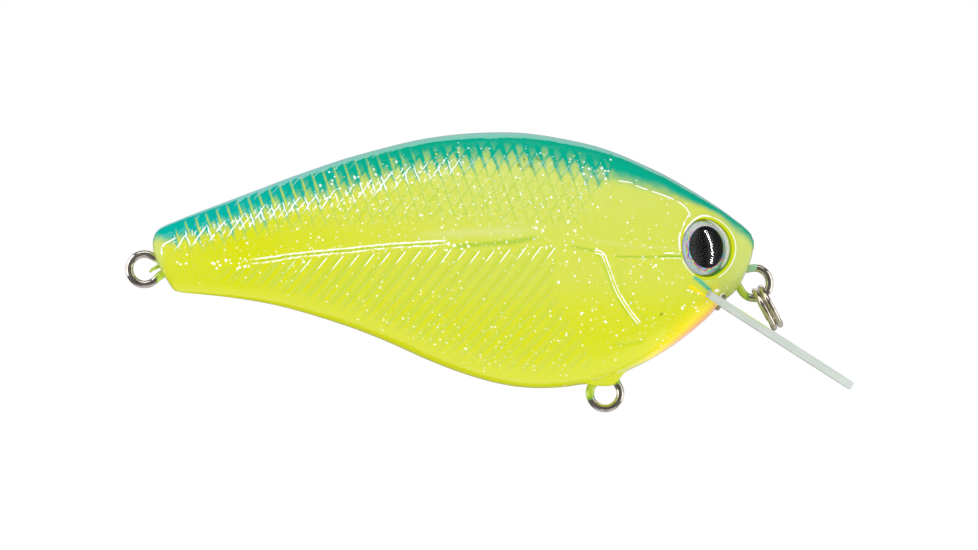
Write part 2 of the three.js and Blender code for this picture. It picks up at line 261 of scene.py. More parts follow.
def lathe(profile, sides):
    """Solid of revolution about +Y; the (radius, height) profile starts and ends on the axis."""
    verts, faces, rings = [], [], []
    for radius, height in profile:
        if radius < 1e-9:
            rings.append([len(verts)])
            verts.append((0, height, 0))
            continue
        rings.append(list(range(len(verts), len(verts) + sides)))
        for k in range(sides):
            angle = 2 * math.pi * k / sides
            verts.append((radius * math.sin(angle), height, radius * math.cos(angle)))
    for a, b in zip(rings, rings[1:]):
        for i in range(sides):
            j = (i + 1) % sides
            if len(a) == 1:
                faces.append((a[0], b[i], b[j]))
            elif len(b) == 1:
                faces.append((a[i], b[0], a[j]))
            else:
                faces.append((a[i], b[i], b[j], a[j]))
    return np.array(verts), faces


# ---------------------------------------------------------------- shader graphs
def linear(rgb):
    """Linear colour from sRGB out of 255."""
    c = np.asarray(rgb, float) / 255
    c = np.where(c <= 0.04045, c / 12.92, ((c + 0.055) / 1.055) ** 2.4)
    return (*map(float, c), 1.0)


class Value:
    """A node's output. Arithmetic on it adds Math nodes."""

    def __init__(self, graph, output):
        self.graph = graph
        self.output = output

    def math(self, operation, *others, **options):
        return self.graph.math(operation, self, *others, **options)

    def max(self, other):
        return self.math("MAXIMUM", other)

    def min(self, other):
        return self.math("MINIMUM", other)

    def fract(self):
        return self.math("FRACT")

    def offset(self, at):
        """Signed distance of a phase from the nearest line of its family, in periods."""
        return (self + (0.5 - at)).fract() - 0.5

    def bell(self, width, at=0.0):
        """1 at a place, falling to 1/e one width away."""
        share = (self - at) / width
        return (share * share * -1.0).math("EXPONENT")

    def ramp(self, low, high, out=(0.0, 1.0), kind="SMOOTHSTEP"):
        """Map low..high to the out range, held beyond it."""
        inputs = {0: self, 1: low, 2: high, 3: out[0], 4: out[1]}
        return self.graph.add("ShaderNodeMapRange", inputs, interpolation_type=kind)

    def toward(self, amount, colour):
        return self.graph.mix(amount, self, colour)


for _method, _operation in (
    ("add", "ADD"), ("sub", "SUBTRACT"), ("mul", "MULTIPLY"), ("truediv", "DIVIDE"),
):
    setattr(Value, f"__{_method}__", lambda a, b, op=_operation: a.graph.math(op, a, b))
    setattr(Value, f"__r{_method}__", lambda a, b, op=_operation: a.graph.math(op, b, a))


def highest(*values):
    return reduce(Value.max, values)


class Graph:
    """Fills a node tree; node inputs are given as {socket: number, colour or Value}."""

    def __init__(self, tree):
        tree.nodes.clear()
        self.tree = tree

    def node(self, kind, inputs, **settings):
        node = self.tree.nodes.new(kind)
        for name, value in settings.items():
            setattr(node, name, value)
        for key, value in inputs.items():
            if isinstance(value, Value):
                self.tree.links.new(value.output, node.inputs[key])
            else:
                node.inputs[key].default_value = value
        return node

    def add(self, kind, inputs, output=0, **settings):
        return Value(self, self.node(kind, inputs, **settings).outputs[output])

    def split(self, value, kind="ShaderNodeSeparateXYZ"):
        return [Value(self, output) for output in self.node(kind, {0: value}).outputs]

    def math(self, operation, a, b=0.0, c=0.0, clamp=False):
        inputs = {0: a, 1: b, 2: c}
        return self.add("ShaderNodeMath", inputs, operation=operation, use_clamp=clamp)

    def vector(self, operation, *inputs):
        return self.add("ShaderNodeVectorMath", dict(enumerate(inputs)), operation=operation)

    def mix(self, amount, first, second):
        """Blend two colours; a tuple of three numbers is sRGB out of 255."""
        first, second = (
            linear(c) if isinstance(c, tuple) and len(c) == 3 else c for c in (first, second)
        )
        return self.add("ShaderNodeMix", {0: amount, 6: first, 7: second}, 2, data_type="RGBA")

    def attribute(self, name):
        return self.add("ShaderNodeAttribute", {}, "Fac", attribute_name=name)

    def coordinates(self, kind):
        return self.add("ShaderNodeTexCoord", {}, kind)

    def noise(self, scale, detail=2, rough=0.5, vector=None, output="Fac"):
        """Noise over the object's own coordinates in metres, or over another vector."""
        inputs = {
            "Vector": vector or self.position,
            "Scale": scale,
            "Detail": detail,
            "Roughness": rough,
        }
        return self.add("ShaderNodeTexNoise", inputs, output)

    def bump(self, height, strength, distance=1.0):
        inputs = {"Strength": strength, "Distance": distance, "Height": height}
        return self.add("ShaderNodeBump", inputs)

    def principled(self, inputs):
        """End the graph with a Principled shader."""
        shader = self.add("ShaderNodeBsdfPrincipled", inputs)
        self.node("ShaderNodeOutputMaterial", {0: shader})


def material(name):
    mat = bpy.data.materials.new(name)
    mat.use_nodes = True
    graph = Graph(mat.node_tree)
    graph.position = graph.coordinates("Object")
    return mat, graph


# ---------------------------------------------------------------- body paint
YELLOW = (220, 225, 0)
PALE = (213, 227, 122)
TEAL = (0, 176, 143)
REAR_TEAL = (0, 182, 166)
ORANGE = (255, 172, 92)


def paint_layers(graph):
    """The mesh's layers as values, and the patterns that several parts of the paint share."""
    layer = SimpleNamespace(**{k: graph.attribute(v) for k, v in LAYERS.items()})
    # the mould's lines waver a little
    waver = graph.noise(420)
    tremble = graph.noise(1250, detail=1)
    jitter = (waver - 0.5) * 0.10 + layer.strokes * (tremble - 0.5) * 0.30
    layer.slant_a = layer.slant_a + jitter
    layer.slant_b = layer.slant_b - jitter
    layer.line_a = layer.slant_a.offset(0.0)
    layer.step_a = layer.slant_a.offset(0.32)
    layer.line_b = layer.slant_b.offset(0.93)
    layer.rib = layer.rib_phase.fract()
    # noise that breaks up the lines and the painted highlights
    layer.ragged = (graph.noise(2300) - 0.5) * 2.2
    layer.broken = graph.noise(1300).ramp(0.38, 0.47)
    layer.breaks = graph.noise(950).ramp(0.40, 0.50)
    return layer


def paint_relief(graph, layer):
    """Relief finer than the mesh: scale steps, rib walls and creases, in paint steps."""

    def step(phase, at, rise):
        """A slow fall and a quick rise in each period."""
        t = (phase - at).fract()
        return (1.0 - t).math("POWER", 1.5).max(t.ramp(1.0 - rise, 1.0))

    uneven = graph.noise(240).ramp(0.3, 0.7, out=(0.65, 1.25))
    scales = layer.scales * uneven * (
        step(layer.slant_b, at=0.90, rise=0.17) * 1.05
        + step(layer.slant_a, at=0.30, rise=0.15) * 0.70
    )
    ribs = layer.ribs * (
        layer.rib_phase.fract().ramp(0.675, 0.765) * 0.85
        + layer.rib_phase.fract().ramp(0.28, 0.37) * -0.50
        + layer.rib_phase.fract().ramp(0.40, 0.66) * -0.35
    )
    lateral = layer.lateral * (
        layer.lateral_gap.bell(width=1.15) * 1.15
        + layer.lateral_gap.bell(at=4.1, width=1.1) * 0.95
        + layer.lateral_gap.bell(at=2.1, width=1.0) * -0.5
    )
    gill = layer.gill * (
        layer.gill_gap.bell(width=1.1) * 1.25 + layer.gill_gap.bell(at=2.9, width=1.0) * 1.0
    )
    plate = layer.plate * layer.plate_gap.bell(width=1.25) * 1.35
    cheek = layer.cheek * (
        layer.cheek_gap.bell(width=1.0) * -0.8 + layer.cheek_gap.bell(at=1.9, width=0.9) * 0.75
    )
    fine = graph.noise(1900, detail=3) * 0.10
    coarse = graph.noise(520, detail=3) * 0.55
    return scales + ribs + lateral + gill + plate + cheek + fine + coarse


def base_coat(graph, layer):
    """Yellow and pale ground, with the ribs, scale lines, creases and orange throat."""
    line_a, line_b, rib = layer.line_a, layer.line_b, layer.rib
    colour = graph.mix(layer.pale, YELLOW, PALE)
    mottle = graph.noise(700, detail=4)
    colour = colour.toward(mottle.ramp(0.42, 0.72, out=(0.0, 0.22)), (208, 222, 48))
    # ribs: a greener valley with a pale edge, the pale edge a painted highlight on the rib walls
    valley = rib.ramp(0.17, 0.40) * rib.ramp(0.74, 0.95, out=(1.0, 0.0)) * layer.ribs
    colour = colour.toward(valley * 0.62, (200, 218, 52))
    rim = rib.bell(at=0.72, width=0.055) * 0.9 + rib.bell(at=0.33, width=0.06) * 0.35
    rim = (rim * layer.ribs).math("MULTIPLY", 0.75, clamp=True)
    colour = colour.toward(rim, (203, 223, 130))
    # scale grooves and the fine lattice below the teal
    groove = layer.scales * (
        (line_a.bell(at=-0.02, width=0.10) * 0.62).max(line_b.bell(width=0.09) * 0.5)
    )
    colour = colour.toward(groove.min(1.0), (150, 205, 110))
    fine = (
        layer.lattice
        * line_a.bell(at=-0.02, width=0.10).max(line_b.bell(at=0.02, width=0.085) * 0.9)
        * (0.55 + layer.broken * 0.45)
    )
    colour = colour.toward(fine.min(1.0), (164, 208, 52))
    lit = layer.lattice * layer.step_a.bell(at=-0.22, width=0.07) * layer.broken * 0.4
    colour = colour.toward(lit, (226, 236, 160))
    fleck = graph.noise(3000, detail=3, rough=0.65)
    colour = colour.toward(fleck.ramp(0.53, 0.70) * layer.lattice * 1.1, (180, 211, 60))
    colour = colour.toward(fleck.ramp(0.47, 0.32) * layer.lattice * 1.2, (230, 236, 150))
    # creases: painted shade in them and along the dark lines
    shade = (
        layer.lateral * layer.lateral_gap.bell(at=2.2, width=1.1) * 0.5
        + layer.gill * layer.gill_gap.bell(at=4.6, width=1.3) * 0.35
        + layer.cheek * layer.cheek_gap.bell(width=1.0) * 0.75
        + layer.line * 0.82
    )
    colour = colour.toward(shade.min(1.0), (150, 202, 40))
    # painted highlight along the soft ridges
    colour = colour.toward(layer.ridge, (222, 232, 160))
    speck = graph.noise(5600)
    light = speck.ramp(0.54, 0.72, out=(0.0, 0.55)) * layer.grain
    colour = colour.toward(light, (226, 233, 168))
    deep = speck.ramp(0.30, 0.42, out=(0.30, 0.0)) * layer.grain
    colour = colour.toward(deep, (196, 212, 40))
    for low, high, tone in (
        (0.0, 0.45, (255, 238, 24)), (0.42, 0.62, (255, 216, 30)), (0.62, 0.95, ORANGE),
    ):
        colour = colour.toward(layer.orange.ramp(low, high), tone)
    # painted shade along the belly edge and the socket's lower front
    return colour.toward(layer.edge, (92, 168, 10))


def teal_coat(graph, layer, colour):
    """The sprayed back: deeper along the scale grooves, missing from steps that face down."""
    level = (
        layer.teal
        + (graph.noise(1100, detail=3) - 0.5) * 0.35
        + layer.scales * layer.line_a.bell(width=0.12) * -0.42
        + layer.scales * layer.line_b.bell(width=0.10) * -0.24
        + layer.front * layer.line_a.bell(width=0.17) * -0.42
        + layer.front * layer.line_b.bell(width=0.13) * -0.22
    )
    cover = level.ramp(0.0, 1.0, out=(1.0, 0.0))
    missing = layer.scales * layer.thin * layer.step_a.bell(width=0.085)
    kept = graph.math("SUBTRACT", 1.0, missing * 0.85, clamp=True)
    cover = cover.math("MULTIPLY", kept, clamp=True)
    toward_tail = graph.split(graph.position)[0].ramp(-0.028, -0.010, out=(1.0, 0.0))
    colour = colour.toward(cover, graph.mix(toward_tail, TEAL, REAR_TEAL))
    # a teal line in the lip slot, and painted shade at the foot of the socket's wall
    return colour.toward(layer.glaze, (70, 190, 160))


def painted_highlights(graph, layer):
    """Strength of the painted highlights: white crests of the moulded lines, strokes on the
    scales, rib tips and glints.
    """
    ragged, broken, breaks = layer.ragged, layer.broken, layer.breaks
    slant_a, slant_b = layer.slant_a, layer.slant_b
    crest = highest(
        layer.lateral * (layer.lateral_gap + ragged).bell(width=0.75),
        layer.lateral
        * (layer.lateral_gap - ragged * 1.5).bell(at=4.1, width=0.62)
        * (0.35 + breaks * 0.6),
        layer.gill * layer.gill_gap.bell(width=0.62),
        layer.gill * layer.gill_gap.bell(at=2.9, width=0.5) * 0.8,
        layer.plate
        * (layer.plate_gap + ragged * 0.4).bell(width=0.78)
        * (0.5 + broken * 0.5),
        layer.cheek
        * (layer.cheek_gap + ragged * 0.5).bell(at=1.9, width=0.5)
        * breaks
        * 0.55,
    )
    crest = crest * (0.55 + broken * 0.45)
    # painted highlight strokes along both families of scale lines, and short hooks between them
    short = (
        slant_b.offset(0.55).bell(width=0.05)
        * slant_a.offset(0.5).bell(width=0.22)
        * (1.0 - breaks)
        * 0.9
    )
    stroke = (slant_b.offset(0.90).bell(width=0.062) * broken).max(
        (slant_a.offset(0.05).bell(width=0.06) * breaks * 0.9).max(short)
    )
    hooks = highest(
        slant_a.offset(0.66).bell(width=0.055) * graph.noise(1150).ramp(0.50, 0.56),
        slant_b.offset(0.45).bell(width=0.05) * graph.noise(1500).ramp(0.51, 0.57),
    )
    crest = highest(
        crest,
        layer.strokes * stroke.max(hooks * 0.85),
        layer.rib_tips * layer.rib.bell(at=0.72, width=0.05),
        layer.glints,
    )
    return crest.ramp(0.10, 0.75)


# cells per metre, radius in mm, share of cells kept, colour, seed, strength,
# follows the fine grain, glows with a painted sparkle
FLAKES = (
    (2600, 0.085, 0.26, (246, 250, 226), 0.0, 0.65, True, False),
    (1900, 0.105, 0.62, (255, 255, 255), 7.3, 1.0, False, True),
    (1250, 0.160, 0.140, (255, 255, 255), 4.4, 1.0, False, True),
    (1600, 0.125, 0.330, (246, 230, 0), 3.1, 0.9, False, False),
    (1500, 0.120, 0.110, (205, 228, 255), 5.2, 1.0, False, True),
)


def flakes(graph, layer, colour):
    """Ragged silver, gold and bluish flakes in the clear coat; also returns their glow, a painted
    sparkle.
    """
    ragged = graph.noise(7000, detail=1, output="Color")
    place = graph.vector("MULTIPLY_ADD", ragged, (0.00022,) * 3, graph.position)
    cluster = graph.noise(170).ramp(0.38, 0.62, out=(0.35, 1.7))
    density = layer.flake * cluster
    fine_density = layer.grain * layer.grain * cluster
    glows = []
    for scale, radius, keep, tone, seed, strength, is_fine, is_glowing in FLAKES:
        shifted = graph.vector("ADD", place, (seed, seed * 0.7, seed * 1.3))
        cells = graph.node(
            "ShaderNodeTexVoronoi", {"Vector": shifted, "Scale": scale}, feature="F1"
        )
        cell_colour = Value(graph, cells.outputs["Color"])
        pick, spread, shine = graph.split(cell_colour, "ShaderNodeSeparateColor")
        chosen = pick.math("LESS_THAN", (fine_density if is_fine else density) * keep)
        size = spread.ramp(0, 1, out=(0.6, 1.25), kind="LINEAR") * (radius * scale * MM)
        distance_in = Value(graph, cells.outputs["Distance"])
        spot = chosen * distance_in.ramp(size * 0.55, size, out=(1.0, 0.0))
        spot = spot * shine.ramp(0, 1, out=(0.5 * strength, strength), kind="LINEAR")
        colour = colour.toward(spot, tone)
        if is_glowing:
            glows.append(spot)
    return colour, highest(*glows)


def body_paint():
    mat, graph = material("body_paint")
    layer = paint_layers(graph)
    relief = paint_relief(graph, layer)
    crest = painted_highlights(graph, layer)
    colour = teal_coat(graph, layer, base_coat(graph, layer))
    # the painted highlights, in white
    colour = colour.toward(crest * 0.95, (255, 255, 252))
    colour, glow = flakes(graph, layer, colour)
    colour = colour.toward(layer.dark * 1.0, (58, 104, 10))
    colour = colour.toward(layer.bare, (138, 134, 112))
    graph.principled({
        "Base Color": colour,
        "Roughness": 0.6,
        "Specular IOR Level": 0.0,
        "Coat Weight": 1.0,
        "Coat IOR": 1.5,
        "Coat Roughness": graph.noise(2600).ramp(0.3, 0.8, out=(0.02, 0.06)),
        "Coat Normal": graph.bump(relief * (PAINT_STEP * MM), strength=1.0),
        "Normal": graph.bump(relief * (PAINT_STEP * MM), strength=0.35),
        "Emission Color": (1, 1, 1, 1),
        # a faint glow on the painted highlights and the flakes: painted light
        "Emission Strength": glow.max(crest) * 0.18,
    })
    return mat


# ---------------------------------------------------------------- other materials
def wire_metal(name, tone, rough, painted=False):
    """Streaked bright wire, with overspray where the mesh's paint layer says so."""
    mat, graph = material(name)
    streak = graph.noise(5200, detail=4, rough=0.6)
    dirt = graph.noise(1500, detail=3, rough=0.55)
    colour = graph.mix(dirt.ramp(0.45, 0.72, out=(0.0, 0.6)), tone, (140, 124, 104))
    metallic = 0.86
    inputs = {
        "Metallic": metallic,
        "Roughness": streak.ramp(0.3, 0.7, out=(rough - 0.03, rough + 0.07)),
        "Specular IOR Level": 0.4,
        "Normal": graph.bump(streak, strength=0.05, distance=0.01 * MM),
    }
    if painted:
        amount = graph.attribute("paint") + dirt.ramp(0.3, 0.7, out=(-0.18, 0.18))
        mask = amount.ramp(0.42, 0.58)
        green = graph.mix(amount.ramp(0.6, 1.1), (120, 178, 40), (196, 220, 70))
        green = green.toward(graph.attribute("cool"), (160, 206, 170))
        colour = colour.toward(mask, green)
        inputs["Metallic"] = (1.0 - mask) * metallic
        inputs["Coat Weight"] = mask
    graph.principled({"Base Color": colour, **inputs})
    return mat


def lip_board():
    """Woven glass cloth seen through resin, in the board's own plane."""
    mat, graph = material("lip_board")
    thread = 2 * math.pi / (0.42 * MM)  # turns of the weave per metre, as an angle
    x, y, z = graph.split(graph.position)
    weave = (x * thread).math("SINE") * (y * thread).math("SINE")
    cloud = graph.noise(500, detail=3)
    flattened = graph.vector("MULTIPLY", graph.position, (0.25, 0.25, 3.0))
    plies = graph.noise(1500, detail=3, vector=flattened)
    woven = weave.ramp(-1, 1, out=(0.0, 0.25), kind="LINEAR")
    colour = graph.mix(woven, (207, 216, 206), (222, 229, 221))
    colour = colour.toward(cloud.ramp(0.35, 0.7, out=(0.0, 0.35)), (196, 208, 197))
    colour = colour.toward(plies.ramp(0.4, 0.7, out=(0.0, 0.25)), (228, 234, 229))
    # a smear of the body's paint on the top face beside the slot
    smear = z.ramp(0.22 * MM, 0.34 * MM) * (
        x.ramp(-7.2 * MM, -6.4 * MM) * x.ramp(-3.6 * MM, -2.4 * MM, out=(1.0, 0.0))
    )
    graph.principled({
        "Base Color": colour.toward(smear * 0.8, (206, 226, 120)),
        "Roughness": 0.3,
        "Specular IOR Level": 0.25,
        "Coat Weight": 0.1,
        "Coat Roughness": 0.15,
        "Normal": graph.bump(weave, strength=0.15, distance=0.02 * MM),
    })
    return mat


PUPIL_R, PUPIL_X, PUPIL_Z = 2.08, 0.36, 0.1
FOIL_R = 2.8
FRINGE = 0.42  # width of one order of the foil's rainbow


def eye_foil(label):
    """Diffraction foil: a wandering rainbow fringe round a black pupil, on a pinkish grey."""
    mat, graph = material("eye_foil_" + label)
    x, _, z = graph.split(graph.position)
    dx = x - PUPIL_X * MM
    dz = z - PUPIL_Z * MM
    radius = (dx * dx + dz * dz).math("SQRT")
    cosine = dx / radius
    sine = dz / radius
    polar = graph.add("ShaderNodeCombineXYZ", {0: cosine, 1: sine, 2: radius * 300.0})
    wander = graph.noise(2.6, detail=3, vector=polar)
    fine = graph.noise(9.0, vector=polar)
    order = (radius - PUPIL_R * MM) / (FRINGE * MM)
    turn = wander * 2.6 + fine * 0.6
    strong = (order + fine * 0.5).ramp(0.8, 1.5, out=(0.85, 0.08))
    patch = graph.noise(1.7, vector=polar).ramp(0.38, 0.58, out=(0.55, 1.0))
    rainbow = graph.add("ShaderNodeCombineColor", {
        0: (turn + order * 0.95).fract(),
        1: strong * patch * sine.ramp(0.35, 0.85, out=(1.0, 0.25)),
        2: fine.ramp(0.3, 0.7, out=(0.82, 1.0)),
    }, mode="HSV")
    grey = graph.mix(sine.ramp(0.3, 0.9), (222, 220, 224), (176, 190, 168))
    grey = grey.toward(cosine.ramp(-0.95, -0.35, out=(0.45, 0.0)), (176, 196, 232))
    ring = rainbow.toward(order.ramp(0.85, 1.4, out=(0.0, 0.85)), grey)
    # green at the foil's rim, weaker toward its upper rear: painted shade from the socket's rim
    from_centre = (x * x + z * z).math("SQRT")
    low_side = (x * 0.6 - z).ramp(-0.5 * MM, 1.6 * MM, out=(0.25, 1.0))
    rim = from_centre.ramp((FOIL_R - 0.30) * MM, (FOIL_R - 0.14) * MM) * low_side
    ring = ring.toward(rim, (104, 168, 66))
    pupil = radius.ramp((PUPIL_R - 0.03) * MM, (PUPIL_R + 0.03) * MM, out=(1.0, 0.0))
    # the pupil: black, with a painted reflection that lightens it toward the nose
    shade = graph.noise(3.3, detail=3, vector=polar)
    across = x + z * -0.12 + shade * (0.4 * MM)
    pupil_and_sheen = graph.mix(across.ramp(0.35 * MM, 1.1 * MM), (5, 5, 3), (46, 46, 46))
    graph.principled({
        "Base Color": ring.toward(pupil, pupil_and_sheen),
        # the ring glows faintly: painted light
        "Emission Color": ring,
        "Emission Strength": (1.0 - pupil) * 0.32,
        "Roughness": pupil.ramp(0.0, 1.0, out=(0.45, 0.7), kind="LINEAR"),
        "Specular IOR Level": pupil.ramp(0.0, 1.0, out=(0.15, 0.0), kind="LINEAR"),
    })
    return mat


def eye_resin():
    mat, graph = material("eye_resin")
    graph.principled({
        "Base Color": graph.mix(graph.noise(300), (252, 255, 254), (246, 250, 250)),
        "Roughness": 0.09,
        "IOR": 1.45,
        "Transmission Weight": 1.0,
    })
    return mat


def grey_metal(name, tone, rough, metallic=1.0):
    mat, graph = material(name)
    cloud = graph.noise(2500, detail=4)
    darker = tuple(c * 0.75 for c in tone)
    graph.principled({
        "Base Color": graph.mix(cloud.ramp(0.3, 0.7, out=(0.0, 0.5)), tone, darker),
        "Roughness": cloud.ramp(0.3, 0.7, out=(rough, rough + 0.12)),
        "Metallic": metallic,
    })
    return mat


# ---------------------------------------------------------------- the body's form
# x, z of the back, z of the belly, half width, z of the widest place
STATIONS = np.array([
    (-34.92, 3.59, 2.08, 1.15, 2.8), (-34.8, 3.95, 1.61, 1.55, 2.7),
    (-34.58, 4.26, 1.09, 1.8, 2.6), (-34.22, 4.58, 0.36, 1.98, 2.45),
    (-33.7, 4.86, -0.57, 2.1, 2.3), (-33.18, 5.08, -1.4, 2.18, 2.2),
    (-32.76, 5.24, -1.91, 2.25, 2.15), (-32.14, 5.5, -2.1, 2.35, 2.15),
    (-30.06, 6.31, -2.31, 2.75, 2.2), (-27.98, 7.09, -2.53, 3.2, 2.35),
    (-25.9, 7.88, -2.8, 3.65, 2.55), (-23.82, 8.66, -3.14, 4.1, 2.75),
    (-21.74, 9.46, -3.57, 4.52, 2.95), (-19.66, 10.22, -4.12, 4.92, 3.1),
    (-17.58, 10.94, -4.74, 5.3, 3.2), (-15.5, 11.64, -5.41, 5.67, 3.25),
    (-13.42, 12.25, -6.14, 6.0, 3.28), (-11.34, 12.81, -6.97, 6.3, 3.25),
    (-9.26, 13.34, -7.87, 6.58, 3.2), (-7.18, 13.79, -8.82, 6.82, 3.1),
    (-5.1, 14.12, -9.69, 7.03, 2.95), (-3.02, 14.35, -10.46, 7.2, 2.75),
    (-0.94, 14.49, -11.12, 7.34, 2.55), (1.14, 14.54, -11.64, 7.43, 2.35),
    (3.22, 14.48, -11.97, 7.49, 2.15), (5.3, 14.25, -12.08, 7.52, 1.95),
    (7.38, 13.9, -11.99, 7.52, 1.8), (9.46, 13.48, -11.71, 7.48, 1.68),
    (11.54, 12.94, -11.25, 7.4, 1.6), (13.62, 12.19, -10.57, 7.25, 1.55),
    (15.7, 11.29, -9.63, 7.05, 1.55), (17.78, 10.32, -8.49, 6.75, 1.6),
    (19.34, 9.48, -7.46, 6.25, 1.7), (20.9, 8.55, -6.28, 5.6, 1.85),
    (21.94, 7.92, -5.41, 5.05, 1.95), (22.98, 7.25, -4.45, 4.45, 2.05),
    (23.82, 6.7, -3.43, 3.95, 2.2), (24.65, 6.12, -2.77, 3.42, 2.35),
    (25.38, 5.56, -2.2, 2.95, 2.5), (26.0, 5.1, -1.4, 2.55, 2.6),
    (26.52, 4.66, -0.36, 2.2, 2.7), (26.94, 4.26, 0.62, 1.85, 2.75),
    (27.25, 3.85, 1.51, 1.45, 2.75), (27.41, 3.38, 2.29, 1.0, 2.75),
])
POWER = 2.4  # superellipse power of the cross-sections
GAP = 0.006  # from the mid-plane to each half
CAP_SHARES = (0.93, 0.8, 0.62, 0.42, 0.2, 0.02)  # sizes of the rings that close each end
# the grid's rows between breaks along x, and its columns from back to belly
BREAKS = (-34.92, -32, 18.8, 26, 27.41)
ROWS, COLUMNS = (((44, 484, 122, 34), 330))


def sections(x, shrink=0.0, count=COLUMNS):
    """Half sections (y >= 0) from back to belly, closer together beside the eye.

    Also returns the distance run along each from the back.
    """
    top, bottom, half, wide = (pchip(STATIONS[:, 0], STATIONS[:, k], x) for k in (1, 2, 3, 4))
    top, bottom, half = top - shrink * 1.1, bottom + shrink * 1.1, half - shrink
    angle = np.linspace(np.pi / 2, -np.pi / 2, 721)
    across = np.abs(np.cos(angle)) ** (2 / POWER)
    up = np.sign(np.sin(angle)) * np.abs(np.sin(angle)) ** (2 / POWER)
    across[0] = across[-1] = 0
    points = np.zeros((len(x), count, 3))
    runs = np.zeros((len(x), count))
    for i in range(len(x)):
        y = half[i] * across
        z = wide[i] + np.where(up > 0, top[i] - wide[i], wide[i] - bottom[i]) * up
        length = np.hypot(np.diff(y), np.diff(z))
        run = np.r_[0, np.cumsum(length)]
        beside_eye = smooth(16.5, 18.8, x[i]) * bead(z[1:], 2.5, 3.6) * (shrink == 0)
        weighted = np.r_[0, np.cumsum(length * (1 + 1.2 * beside_eye))]
        wanted = np.interp(np.linspace(0, weighted[-1], count), weighted, run)
        points[i, :, 0] = x[i]
        points[i, :, 1] = np.interp(wanted, run, y)
        points[i, :, 2] = np.interp(wanted, run, z)
        runs[i] = wanted
    return points, runs


def end_cap(ring, outward):
    """Rings that close an end of the body, from the largest to the smallest."""
    centre = np.array([ring[:, 0].mean(), 0, (ring[0, 2] + ring[-1, 2]) / 2])
    rings = []
    for share in CAP_SHARES:
        shrunk = centre + (ring - centre) * share
        shrunk[:, 0] = ring[:, 0] + outward * 0.10 * math.sqrt(1 - share * share)
        rings.append(shrunk)
    return np.array(rings)


def unit(vectors):
    return vectors / np.maximum(np.linalg.norm(vectors, axis=2), 1e-12)[..., None]


row_x = np.concatenate([
    np.linspace(low, high, count, endpoint=high == BREAKS[-1])
    for low, high, count in zip(BREAKS, BREAKS[1:], ROWS)
])
base, run = sections(row_x)
base = np.concatenate([end_cap(base[0], -1)[::-1], base, end_cap(base[-1], 1)])
run = np.pad(run, ((len(CAP_SHARES), len(CAP_SHARES)), (0, 0)), mode="edge")
SHAPE = base.shape[:2]

# outward normals, kept in the mid-plane along the back and the belly
normals = unit(np.cross(np.gradient(base, axis=0), np.gradient(base, axis=1)))
normals[:, 0, 1] = normals[:, -1, 1] = 0
normals = unit(normals)

# ---------------------------------------------------------------- the flank's relief and layers
x, z = base[..., 0], base[..., 2]
depth = z[:, :1] - z  # below the back
rise = z - z[:, -1:]  # above the belly
belly_run = run[:, -1:] - run

relief = np.zeros(SHAPE)
flank = SimpleNamespace(**{name: np.zeros(SHAPE) for name in LAYERS})
for gap in (flank.lateral_gap, flank.gill_gap, flank.plate_gap, flank.cheek_gap):
    gap[:] = FAR


def distance(points, reach):
    """Distance in the side view to a curve through (x, z) points, where it is within reach.

    Returns the mask of near vertices, their distance, positive to the right of the way the
    curve runs as seen with X right and Z up, and their share of its length.
    """
    path = evenly(catmull(points, 10), max(12, int(3 * len(points) + 8)))
    low, high = path.min(0) - reach, path.max(0) + reach
    near = (x > low[0]) & (x < high[0]) & (z > low[1]) & (z < high[1])
    spots = np.stack([x[near], z[near]], 1)
    best = np.full(len(spots), 1e9)
    sign = np.zeros(len(spots))
    share = np.zeros(len(spots))
    legs = np.diff(path, axis=0)
    lengths = np.linalg.norm(legs, axis=1)
    total = np.r_[0, np.cumsum(lengths)]
    for k, leg in enumerate(legs):
        rel = spots - path[k]
        t = np.clip((rel @ leg) / (lengths[k] ** 2), 0, 1)
        off = rel - t[:, None] * leg
        dist = np.hypot(off[:, 0], off[:, 1])
        closer = dist < best
        best[closer] = dist[closer]
        side = leg[1] * rel[:, 0] - leg[0] * rel[:, 1]
        sign[closer] = np.sign(side[closer])
        share[closer] = (total[k] + t[closer] * lengths[k]) / total[-1]
    return near, best * np.where(sign == 0, 1, sign), share


def ends(share, fade, start=0.0):
    """Fade a line in by the first share of its length and out over the last."""
    level = np.ones_like(share)
    if fade[0]:
        level = level * smooth(start, fade[0], share)
    if fade[1]:
        level = level * (1 - smooth(1 - fade[1], 1, share))
    return level


def raise_to(layer, near, value):
    layer[near] = np.maximum(layer[near], value)


def mark_crease(gap, level, near, offset, strength):
    """Pass a line on to the paint, where it is nearer than any line there; the paint gives it
    relief, painted highlights and, for some lines, painted shade.
    """
    steps = offset / PAINT_STEP
    closer = np.abs(steps) < np.abs(gap[near])
    gap[near] = np.where(closer, steps, gap[near])
    level[near] = np.where(closer, strength * (np.abs(steps) < 8), level[near])


def mould_line(
    points, reach, beads, fade=(0, 0), paint_fade=None, start=0.0, tint=None, crease=None
):
    """Raise or sink beads beside a curve: each is (height, offset, width).

    tint is (layer, level, offset, width); crease is (gap layer, strength layer, strength).
    """
    near, offset, share = distance(points, reach)
    total = sum(height * bead(offset, at, width) for height, at, width in beads)
    relief[near] += ends(share, fade, start) * total
    strength = ends(share, paint_fade or fade, start)
    if tint:
        layer, level, at, width = tint
        raise_to(layer, near, strength * level * bead(offset, at, width))
    if crease:
        mark_crease(*crease[:2], near, offset, strength * crease[2])
    return near, offset, share


